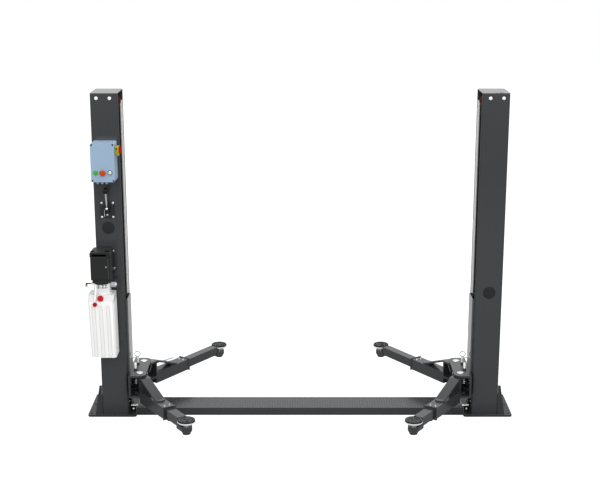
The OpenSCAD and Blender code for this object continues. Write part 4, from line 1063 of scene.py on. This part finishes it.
# %% Lever with its ball
pivot = Vector(joints["lock_lever_pull"]["pos_m"])
lever_low, lever_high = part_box("lock_lever")
BALL = 26.5 * MM
ball_middle = Vector((pivot.x, lever_low.y + BALL, lever_high.z - BALL))
lean = (ball_middle - pivot).normalized()
lever_length = (ball_middle - pivot).length
rod_end = lever_length - 0.017
rod = turned([(0.0, 0.0), (0.0078, 0.0), (0.0078, rod_end - 0.004), (0.0095, rod_end - 0.003),
              (0.0095, rod_end + 0.004), (0.0, rod_end + 0.004)], pivot, lean, 24)
hub = turned([(0.0, -0.0098), (0.0125, -0.0098), (0.0138, -0.0085), (0.0138, 0.0085),
              (0.0125, 0.0098), (0.0, 0.0098)], pivot, (1, 0, 0), 28)
one_piece("lever_rod", [rod, hub], bright_steel, "lock_lever", ("lock_lever",))
ball_profile = [(BALL * math.sin(math.radians(a)), lever_length - BALL * math.cos(math.radians(a)))
                for a in range(22, 181, 8)]
ball_profile = [(0.0, ball_profile[0][1])] + ball_profile[:-1] + [(0.0, lever_length + BALL)]
ball = turned(ball_profile, pivot, lean, 36)
one_piece("lever_ball", [ball], gloss_plastic, "lock_lever", ("lock_lever",))
link = bent_rod([(pivot.x - 0.022, pivot.y + 0.012, pivot.z - 0.012),
                 (pivot.x - 0.022, pivot.y + 0.012, pivot.z - 0.068)], 0.0035)
foot = turned([(0.0, 0.0), (0.012, 0.0), (0.012, 0.006), (0.008, 0.014), (0.0, 0.014)],
              (pivot.x, column_low.y - 6 * MM, pivot.z - 0.055), FRONT, 20)
one_piece("lever_link", [link, foot], bright_steel, "root")
print("Lever length", round(lever_length, 3))

# %% [markdown]
# ## The power unit
# The motor hides in a black moulding: a flat cover with bevelled sides on the front, a ledge above
# it, and two deep screw wells in the top. The ledge and the wells are black pieces of painted shade,
# and a lighter rib on the cover is a painted highlight. Under it sits a cast valve block with plugs,
# grooves drawn as grey strips of painted shade, and a large union, and a small lever with a pale tip
# lets the oil out by hand.

# %% Motor cover
motor_low, motor_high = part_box("motor")
front = motor_low.y + 4 * MM


def bevelled_panel(x0, x1, z0, z1, y_back, rise, slope):
    """A flat panel whose four sides slope back to its foot."""
    shape = bmesh.new()
    foot = [shape.verts.new((x, y_back, z)) for x, z in ((x0, z0), (x1, z0), (x1, z1), (x0, z1))]
    face = [shape.verts.new((x, y_back - rise, z))
            for x, z in ((x0 + slope, z0 + slope), (x1 - slope, z0 + slope),
                         (x1 - slope, z1 - slope), (x0 + slope, z1 - slope))]
    for i in range(4):
        k = (i + 1) % 4
        shape.faces.new((foot[i], foot[k], face[k], face[i]))
    shape.faces.new(face)
    shape.faces.new(foot)
    bmesh.ops.recalc_face_normals(shape, faces=shape.faces)
    return shape


panel = bevelled_panel(-1.735, -1.606, 1.296, 1.497, front + 1 * MM, 7 * MM, 9 * MM)
one_piece("motor_cover", [panel], black_plastic, "root", (), 10)
# The ledge and the screw wells are black pieces of painted shade.
ledge = bevelled_panel(-1.724, -1.604, 1.494, 1.517, motor_low.y + 0.5 * MM, 1.5 * MM, 5 * MM)
wells = [turned([(0.0, -0.002), (0.019, -0.002), (0.019, 0.0009), (0.017, 0.0011), (0.0, 0.0011)],
                (x, motor_low.y + 42 * MM, motor_high.z), UP, 24) for x in (-1.724, -1.603)]
one_piece("motor_recess_shades", [ledge] + wells, recess_shade_black, "root")
screw_row("motor_cover_screw", [(-1.6125, front - 1 * MM, 1.4057)], FRONT, 12 * MM, zinc, "root",
          16, 1.15)
# The rib is lighter than the cover: a painted highlight of a rounded edge.
ribs = [bevelled_panel(-1.598, -1.592, 1.300, 1.480, front + 1 * MM, 2.5 * MM, 2 * MM)]
one_piece("motor_rib", ribs, rib_highlight_plastic, "root", (), 10)
base_ring = turned([(0.0, -0.016), (0.070, -0.016), (0.072, -0.013), (0.072, 0.017),
                    (0.070, 0.02), (0.0, 0.02)],
                   ((motor_low.x + motor_high.x) / 2, motor_low.y + 88 * MM,
                    motor_low.z + 1 * MM), UP, 48)
one_piece("motor_flange_ring", [base_ring], black_plastic, "root")
print("Motor cover at", round(front, 3))

# %% Plugs, union and the tip of the lowering lever
valve_low, valve_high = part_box("valve_block")
valve_front = (motor_low.y + motor_high.y) / 2 - 45 * MM
plugs = []
for x, radius in ((-1.708, 0.0075), (-1.668, 0.010), (-1.637, 0.0085), (-1.612, 0.0065)):
    plugs.append(turned([(0.0, -0.001), (radius + 0.003, -0.001), (radius + 0.003, 0.003),
                         (radius, 0.0035), (radius * 0.9, 0.011), (0.0, 0.0115)],
                        (x, valve_front, 1.222), FRONT, 20))
one_piece("valve_plugs", plugs, zinc, "root")
# The valve block's grooves are drawn as raised grey strips: their grey is painted shade.
groove_shade_strips = []
for x, width in ((-1.6880, 0.004), (-1.6500, 0.004), (-1.6245, 0.004)):
    groove_shade_strips.append(bevelled_panel(x - width, x + width, 1.208, 1.240, valve_front + 0.2 * MM, 1 * MM, 1 * MM))
one_piece("valve_groove_shades", groove_shade_strips, groove_shade_metal, "root", (), 10)
tip_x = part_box("lowering_lever")[0].x + 5 * MM
press = joints["lowering_lever_press"]["pos_m"]
tip = turned([(0.0, -0.030), (0.008, -0.030), (0.0098, -0.028), (0.0098, -0.012), (0.0, -0.012)],
             (tip_x, press[1], press[2]), UP, 20)
one_piece("lever_tip", [tip], pale_tip, "lowering_lever")
union_x = valve_high.x
nut = turned([(0.0, -0.014), (0.0195, -0.014), (0.0205, -0.012), (0.0205, 0.002), (0.0195, 0.004),
              (0.017, 0.0045), (0.016, 0.009), (0.0, 0.0095)],
             (union_x, (motor_low.y + motor_high.y) / 2, 1.232), (1, 0, 0), 6)
one_piece("union_nut", [nut], bright_steel, "root", (), 20)
stub = turned([(0.0, 0.0), (0.009, 0.0), (0.009, 0.036), (0.0, 0.036)],
              (union_x - 0.012, (motor_low.y + motor_high.y) / 2, 1.190), (1, 0, 0), 16)
neck = turned([(0.0, -0.001), (0.066, -0.001), (0.066, 0.004), (0.062, 0.0065), (0.0, 0.0065)],
              (-1.648, -0.2620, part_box("oil_tank")[1].z), UP, 48)
one_piece("return_stub", [stub], black_plastic, "root")
one_piece("tank_neck", [neck], white_plastic, "root")
# The tank's grooves are drawn as grey rings and slightly grey floors on its flattened front: both greys
# are painted shade.
GROOVE_TOP, GROOVE_FOOT, GROOVE_HALF = 1.060, 0.640, 13.5 * MM
outlines, floors = [], []
for x in (-1.7165, -1.6565, -1.5965):
    loop = []
    for step in range(32):
        angle = 2 * math.pi * (step + 0.5) / 32
        end = GROOVE_TOP if math.sin(angle) > 0 else GROOVE_FOOT
        share = (end - tank_low.z) / (tank_high.z - tank_low.z)
        loop.append((x - 13 * MM * share + GROOVE_HALF * math.cos(angle), tank_low.y + 0.2 * MM,
                     end + GROOVE_HALF * math.sin(angle)))
    outlines.append(bent_rod(loop, 1.8 * MM, 8, True))
    floor = bmesh.new()
    floor.faces.new([floor.verts.new((px, tank_low.y - 0.4 * MM, pz)) for px, _, pz in loop])
    floors.append(floor)
one_piece("tank_groove_edge_shades", outlines, groove_edge_shade, "root")
one_piece("tank_groove_floor_shades", floors, groove_floor_shade, "root")
print("Valve block from", round(valve_low.z, 3))

# %% [markdown]
# ## Arm locks
# Each arm is held by a toothed block that a spring pushes down into the arm's sector. A ring on the
# rod lifts it. The block is black and the rod is bright, so the CAD node is split in two: its block
# is kept, and the rod and ring are made again as round parts. The rod's white sleeves are a painted
# reflection of its bright steel, and the ring is pale on the front arms as painted light and dark on
# the back arms as painted shade. The spring is one bent wire. It rides on the carriage.

# %% Arm locks with their springs
BLOCK_TOP, BRACKET_TOP, BRACKET_UNDER = 0.2742, 0.402, 0.385
LOCK_X, LOCK_Y, ROD_TOP = 1.435, 0.078, 0.472
RING = 24 * MM
WIRE = 2.8 * MM


def spring_points(x, y, bottom, top, radius, turns, per_turn=12):
    """Points of a coil with flat end turns."""
    points = []
    count = turns * per_turn
    for i in range(count + 1):
        share = min(1.0, max(0.0, (i - per_turn * 0.7) / (count - per_turn * 1.4)))
        angle = 2 * math.pi * i / per_turn
        points.append((x + radius * math.cos(angle), y + radius * math.sin(angle),
                       bottom + (top - bottom) * share))
    return points


for end, side in ARMS:
    x, y = SIDES[side] * LOCK_X, ENDS[end] * LOCK_Y
    node = f"arm_lock_{end}_{side}"
    block = merged_copy(node)
    above = [face for face in block.faces if face.calc_center_median().z > BLOCK_TOP]
    bmesh.ops.delete(block, geom=above, context="FACES")
    block_mesh = round_edges(from_bmesh(node + "_block", block), 1.2 * MM)
    finished(node + "_tooth_block", block_mesh, black_plastic, node, (node,))
    rod = turned([(0.0, BLOCK_TOP - 0.004), (0.008, BLOCK_TOP - 0.004), (0.008, 0.4165),
                  (0.008, ROD_TOP - 0.001), (0.007, ROD_TOP), (0.0, ROD_TOP)], (x, y, 0), UP, 24)
    one_piece(node + "_rod", [rod], bright_steel, node, (node,))
    # White sleeves on the rod: their white is a painted reflection that makes the steel rod look bright.
    sleeve = turned([(0.0, 0.404), (0.0084, 0.404), (0.0125, 0.462), (0.0105, 0.4665),
                     (0.0, 0.467)], (x, y, 0), UP, 24)
    below = turned([(0.0, BLOCK_TOP + 0.001), (0.0088, BLOCK_TOP + 0.001), (0.0088, 0.362),
                    (0.0, 0.362)], (x, y, 0), UP, 24)
    one_piece(node + "_sleeves", [sleeve, below], white_plastic, node, (node,))
    # The ring is pale in front and dark at the back: painted light and shade of one wire.
    middle = (x, y, ROD_TOP + RING - 2 * MM)
    loop = [(middle[0] + RING * math.cos(2 * math.pi * i / 40), middle[1],
             middle[2] + RING * math.sin(2 * math.pi * i / 40)) for i in range(40)]
    one_piece(node + "_ring", [bent_rod(loop, WIRE, 12, True)], ring_lit_and_shaded[end], node,
              (node,))
    coil = bent_rod(spring_points(x, y, BLOCK_TOP + 0.0022, BRACKET_UNDER - 0.0022, 0.0112, 8), 0.0026, 8)
    spring = one_piece(f"lock_spring_{end}_{side}", [coil], zinc, f"carriage_{side}")
    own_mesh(spring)
print("Locks and springs:", len(ARMS))

# %% [markdown]
# ## Rubber pads
# The pads are moulded with a coarse pattern of lumps that grips a car's sill. The lumps stand on a
# hexagonal grid, each a little different in size, on a turned disc.

# %% The pad tree
def lump_tree():
    """Flattened lumps of uneven size on points."""
    tree = Pattern("pad lumps", {"Lump Radius": 0.006, "Lump Height": 0.0025, "Seed": 3})
    size = tree.node("FunctionNodeRandomValue", {"data_type": "FLOAT"},
                     {2: 0.75, 3: 1.2, "Seed": tree.size("Seed")}, output=1)
    ball = tree.node("GeometryNodeMeshUVSphere", inputs={"Segments": 9, "Rings": 5, "Radius": 1.0})
    shape = tree.node("ShaderNodeCombineXYZ", inputs={"X": tree.size("Lump Radius"),
                                                      "Y": tree.size("Lump Radius"),
                                                      "Z": tree.size("Lump Height")})
    lump = tree.node("GeometryNodeTransform", inputs={"Geometry": ball, "Scale": shape})
    placed = tree.node("GeometryNodeInstanceOnPoints",
                       inputs={"Points": Value(tree, tree.entry.outputs["Geometry"]),
                               "Instance": lump, "Scale": size})
    tree.close(placed)
    return tree


lumps = lump_tree()
LUMP_PITCH = 13.5 * MM
for number, (end, side) in enumerate(ARMS):
    node = f"pad_{end}_{side}"
    low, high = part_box(node)
    middle = (low + high) / 2
    radius = (high.x - low.x) / 2
    top = high.z - 2.2 * MM
    disc = turned([(0.0, low.z + 0.0002), (radius - 0.006, low.z + 0.0002), (radius, low.z + 0.006),
                   (radius, top - 0.006), (radius - 0.002, top - 0.002), (radius - 0.005, top),
                   (0.0, top)], (middle.x, middle.y, 0), UP, 56)
    body = nodes[node]["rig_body"]
    one_piece(node + "_disc", [disc], flat_rubber, body, (node,))
    band = turned([(radius - 0.004, low.z + 0.004), (radius + 0.0006, low.z + 0.004),
                   (radius + 0.0006, top - 0.005), (radius - 0.0016, top - 0.0012),
                   (radius - 0.004, top + 0.0004), (radius - 0.004, low.z + 0.006),
                   (radius - 0.004, low.z + 0.004)], (middle.x, middle.y, 0), UP, 56)
    one_piece(node + "_edge", [band], rubber, body, (node,))
    rim = turned([(0.050, low.z - 0.006), (radius - 0.004, low.z - 0.003), (radius + 0.003, low.z),
                  (radius + 0.003, low.z + 0.008), (radius + 0.001, low.z + 0.008), (radius, low.z - 0.001), (0.050, low.z - 0.002),
                  (0.050, low.z - 0.006)], (middle.x, middle.y, 0), UP, 56)
    screw = f"pad_screw_{end}_{side}"
    one_piece(screw + "_rim", [rim], cast_aluminium, nodes[screw]["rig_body"])
    places = []
    for row in range(-6, 7):
        for column in range(-6, 7):
            px = (column + (row % 2) * 0.5) * LUMP_PITCH
            py = row * LUMP_PITCH * 0.866
            if math.hypot(px, py) < radius - 7 * MM:
                places.append((middle.x + px, middle.y + py, top))
    lump_mesh = lumps.run(points_mesh(places), lump_rubber, Lump_Radius=5.6 * MM, Lump_Height=2.1 * MM,
                          Seed=number)
    lump_mesh.shade_smooth()
    finished(node + "_lumps", lump_mesh, None, body, (node,))
print("Lumps on a pad:", len(places))

# %% [markdown]
# ## Lifting chains
# A leaf chain is stacks of figure-of-eight plates on short pins. A tree walks round the loop that
# the CAD model gives, a pitch at a time. On each step it sets the stack's round eye, the narrow
# waist that leads to the next eye, and a pin, all turned along the loop's direction.

# %% The chain tree
def chain_tree():
    """An eye, a waist and a pin on every step of a closed path."""
    tree = Pattern("leaf chain", {"Pitch": 0.019, "Plate Height": 0.0114, "Chain Width": 0.0154,
                                  "Pin Radius": 0.0026})
    loop = tree.node("GeometryNodeMeshToCurve",
                     inputs={"Mesh": Value(tree, tree.entry.outputs["Geometry"])})
    steps = tree.node("GeometryNodeCurveToPoints", {"mode": "LENGTH"},
                      {"Curve": loop, "Length": tree.size("Pitch")})
    tangent = Value(tree, steps.socket.node.outputs["Tangent"])
    across = tree.node("FunctionNodeAlignRotationToVector", {"axis": "X"}, {"Vector": tangent})
    eye = tree.node("GeometryNodeMeshCylinder", {"fill_type": "NGON"},
                    {"Vertices": 12, "Radius": tree.size("Plate Height") * 0.5,
                     "Depth": tree.size("Chain Width")})
    eye_laid = tree.node("GeometryNodeTransform",
                         inputs={"Geometry": eye, "Rotation": (math.pi / 2, 0.0, 0.0)})
    size = tree.node("ShaderNodeCombineXYZ", inputs={
        "X": tree.size("Pitch"), "Y": tree.size("Chain Width") * 0.94,
        "Z": tree.size("Plate Height") * 0.5})
    waist = tree.node("GeometryNodeMeshCube", inputs={"Size": size})
    half = tree.node("ShaderNodeCombineXYZ", inputs={"X": tree.size("Pitch") * 0.5})
    waist_moved = tree.node("GeometryNodeTransform",
                            inputs={"Geometry": waist, "Translation": half})
    plates = [eye_laid, waist_moved]
    pin = tree.node("GeometryNodeMeshCylinder", {"fill_type": "NGON"},
                    {"Vertices": 10, "Radius": tree.size("Pin Radius"),
                     "Depth": tree.size("Chain Width") * 1.04})
    laid = tree.node("GeometryNodeTransform",
                     inputs={"Geometry": pin, "Rotation": (math.pi / 2, 0.0, 0.0)})
    link = tree.node("GeometryNodeJoinGeometry", inputs={"Geometry": plates + [laid]})
    placed = tree.node("GeometryNodeInstanceOnPoints",
                       inputs={"Points": steps, "Instance": link, "Rotation": across})
    tree.close(placed)
    return tree


chains = chain_tree()
loop_low, loop_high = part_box("lift_chains")
CHAIN_Y = (loop_low.y + loop_high.y) / 2
CHAIN_THICK = 12 * MM
outer = 48 * MM
path_radius = outer - CHAIN_THICK / 2
for side, sign in SIDES.items():
    axis_x = sign * (loop_high.x - outer)
    low_z, high_z = loop_low.z + outer, loop_high.z - outer
    path = [(axis_x + path_radius * math.cos(math.radians(a)), CHAIN_Y,
             high_z + path_radius * math.sin(math.radians(a))) for a in range(0, 181, 10)]
    path += [(axis_x + path_radius * math.cos(math.radians(a)), CHAIN_Y,
              low_z + path_radius * math.sin(math.radians(a))) for a in range(180, 361, 10)]
    wire = bpy.data.meshes.new("loop")
    wire.from_pydata(path, [(i, (i + 1) % len(path)) for i in range(len(path))], [])
    chain_mesh = chains.run(wire, greased_steel)
    finished(f"leaf_chain_{side}", chain_mesh, None, "root", ("lift_chains",))
print("Faces of one chain:", len(chain_mesh.polygons))

# %% [markdown]
# ## Small fittings
# The upper chain wheels are red and the lower ones oily. The arm pins have bright heads on dark
# shanks. Hose fittings stand on the base plates: a bright sleeve, a brass elbow and a dark block.
# The main switch has a grip that points up, and the dome on the right column is smoke coloured.

# %% Wheels and arm pins
dress("chain_wheels", wheel_red, 0.8 * MM, 2, lambda place: place.z > 1)
dress("chain_wheels", dark_metal, 0.8 * MM, 2, lambda place: place.z < 1)
PIN_X, PIN_Y = 1.390, 0.156
for side, sign in SIDES.items():
    heads, shanks = [], []
    for end_sign in ENDS.values():
        place = (sign * PIN_X, end_sign * PIN_Y, 0)
        heads.append(turned([(0.0, 0.4005), (0.0288, 0.4005), (0.029, 0.4048), (0.0278, 0.406),
                             (0.0, 0.406)], place, UP, 40))
        shanks.append(turned([(0.0, 0.192), (0.0245, 0.192), (0.026, 0.1935), (0.026, 0.4004),
                              (0.0, 0.4004)], place, UP, 40))
    node = f"arm_pins_{side}"
    one_piece(node + "_heads", heads, zinc, nodes[node]["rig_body"], (node,))
    one_piece(node + "_shanks", shanks, dark_metal, nodes[node]["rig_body"], (node,))
print("Pins on each side:", len(heads))

# %% Fittings at the column feet
union_low, union_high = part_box("hose_unions")
FOOT_Y = (union_low.y + union_high.y) / 2
for side, sign in SIDES.items():
    dark, bright, golden = [], [], []
    middle = sign * 1.467
    dark.append(turned([(0.0, 0.0), (0.0205, 0.0), (0.022, 0.002), (0.022, 0.044), (0.020, 0.048),
                        (0.0, 0.048)], (middle, FOOT_Y, 0.018), UP, 8))
    dark.append(turned([(0.0, 0.0), (0.0075, 0.0), (0.0081, 0.001), (0.0081, 0.052), (0.0, 0.054)],
                       (sign * 1.483, FOOT_Y, 0.069), UP, 20))
    bright.append(turned([(0.0, 0.0), (0.0115, 0.0), (0.0133, 0.002), (0.0133, 0.020), (0.0120, 0.021),
                          (0.0120, 0.038), (0.0133, 0.039), (0.0133, 0.060), (0.0115, 0.062),
                          (0.0, 0.062)], (sign * 1.425, FOOT_Y, 0.066), (sign, 0, 0), 24))
    bright.append(turned([(0.0, 0.0), (0.0115, 0.0), (0.0115, 0.010), (0.0085, 0.012), (0.0, 0.012)],
                         (middle - sign * 0.004, FOOT_Y - 0.020, 0.040), FRONT, 20))
    golden.append(turned([(0.0, 0.0), (0.0098, 0.0), (0.0098, 0.008), (0.0075, 0.010),
                          (0.0075, 0.018), (0.0, 0.018)],
                         (sign * 1.503, FOOT_Y - 0.004, 0.106), FRONT, 6))
    one_piece(f"foot_fitting_dark_{side}", dark, black_plastic, "root",
              ("hose_unions",), 25)
    one_piece(f"foot_fitting_bright_{side}", bright, bright_steel, "root", ("hose_unions",))
    one_piece(f"foot_fitting_brass_{side}", golden, brass, "root", ("hose_unions",), 25)
print("Foot fittings at y", round(FOOT_Y, 3))

# %% Main switch, dome and the painted highlight bar on an arm
axis = Vector(joints["main_switch_turn"]["pos_m"])
plate_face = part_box("switch_plate")[1].x
knob = turned([(0.0, 0.0), (0.0212, 0.0), (0.022, 0.001), (0.022, 0.0065), (0.0205, 0.008), (0.0, 0.008)],
              (plate_face, axis.y, axis.z), (1, 0, 0), 32)
grip = turned([(0.0, -0.020), (0.0075, -0.020), (0.0095, -0.017), (0.0095, 0.036), (0.0075, 0.039),
               (0.0, 0.039)], (plate_face + 9 * MM, axis.y, axis.z), UP, 4)
one_piece("switch_grip", [knob, grip], red_plastic, "switch_handle",
          ("switch_handle",), 25)
mark = turned([(0.0, 0.0), (0.007, 0.0), (0.007, 0.0008), (0.0, 0.0008)],
              (plate_face - 14 * MM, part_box("switch_plate")[0].y, axis.z + 22 * MM), FRONT, 12)
one_piece("switch_mark", [mark], brown_plastic, "root")
dome = turned([(0.0, -0.001), (0.0155, -0.001), (0.0155, 0.002), (0.0145, 0.006), (0.010, 0.0095),
               (0.0, 0.0108)], (1.650, -0.150, 2.824), UP, 28)
small = turned([(0.0, -0.001), (0.005, -0.001), (0.005, 0.003), (0.0, 0.004)],
               (1.612, -0.150, 2.824), UP, 16)
one_piece("cap_dome", [dome, small], smoke_plastic, "root")
# A pale bar on the back left arm is a painted highlight along the arm's top edge.
bar = bent_rod([(-1.338, 0.3282, 0.310), (-1.1695, 0.5031, 0.310)], 6 * MM, 12)
one_piece("arm_highlight_bar", [bar], highlight_bar_paint, "arm_back_left")
print("Small parts placed")
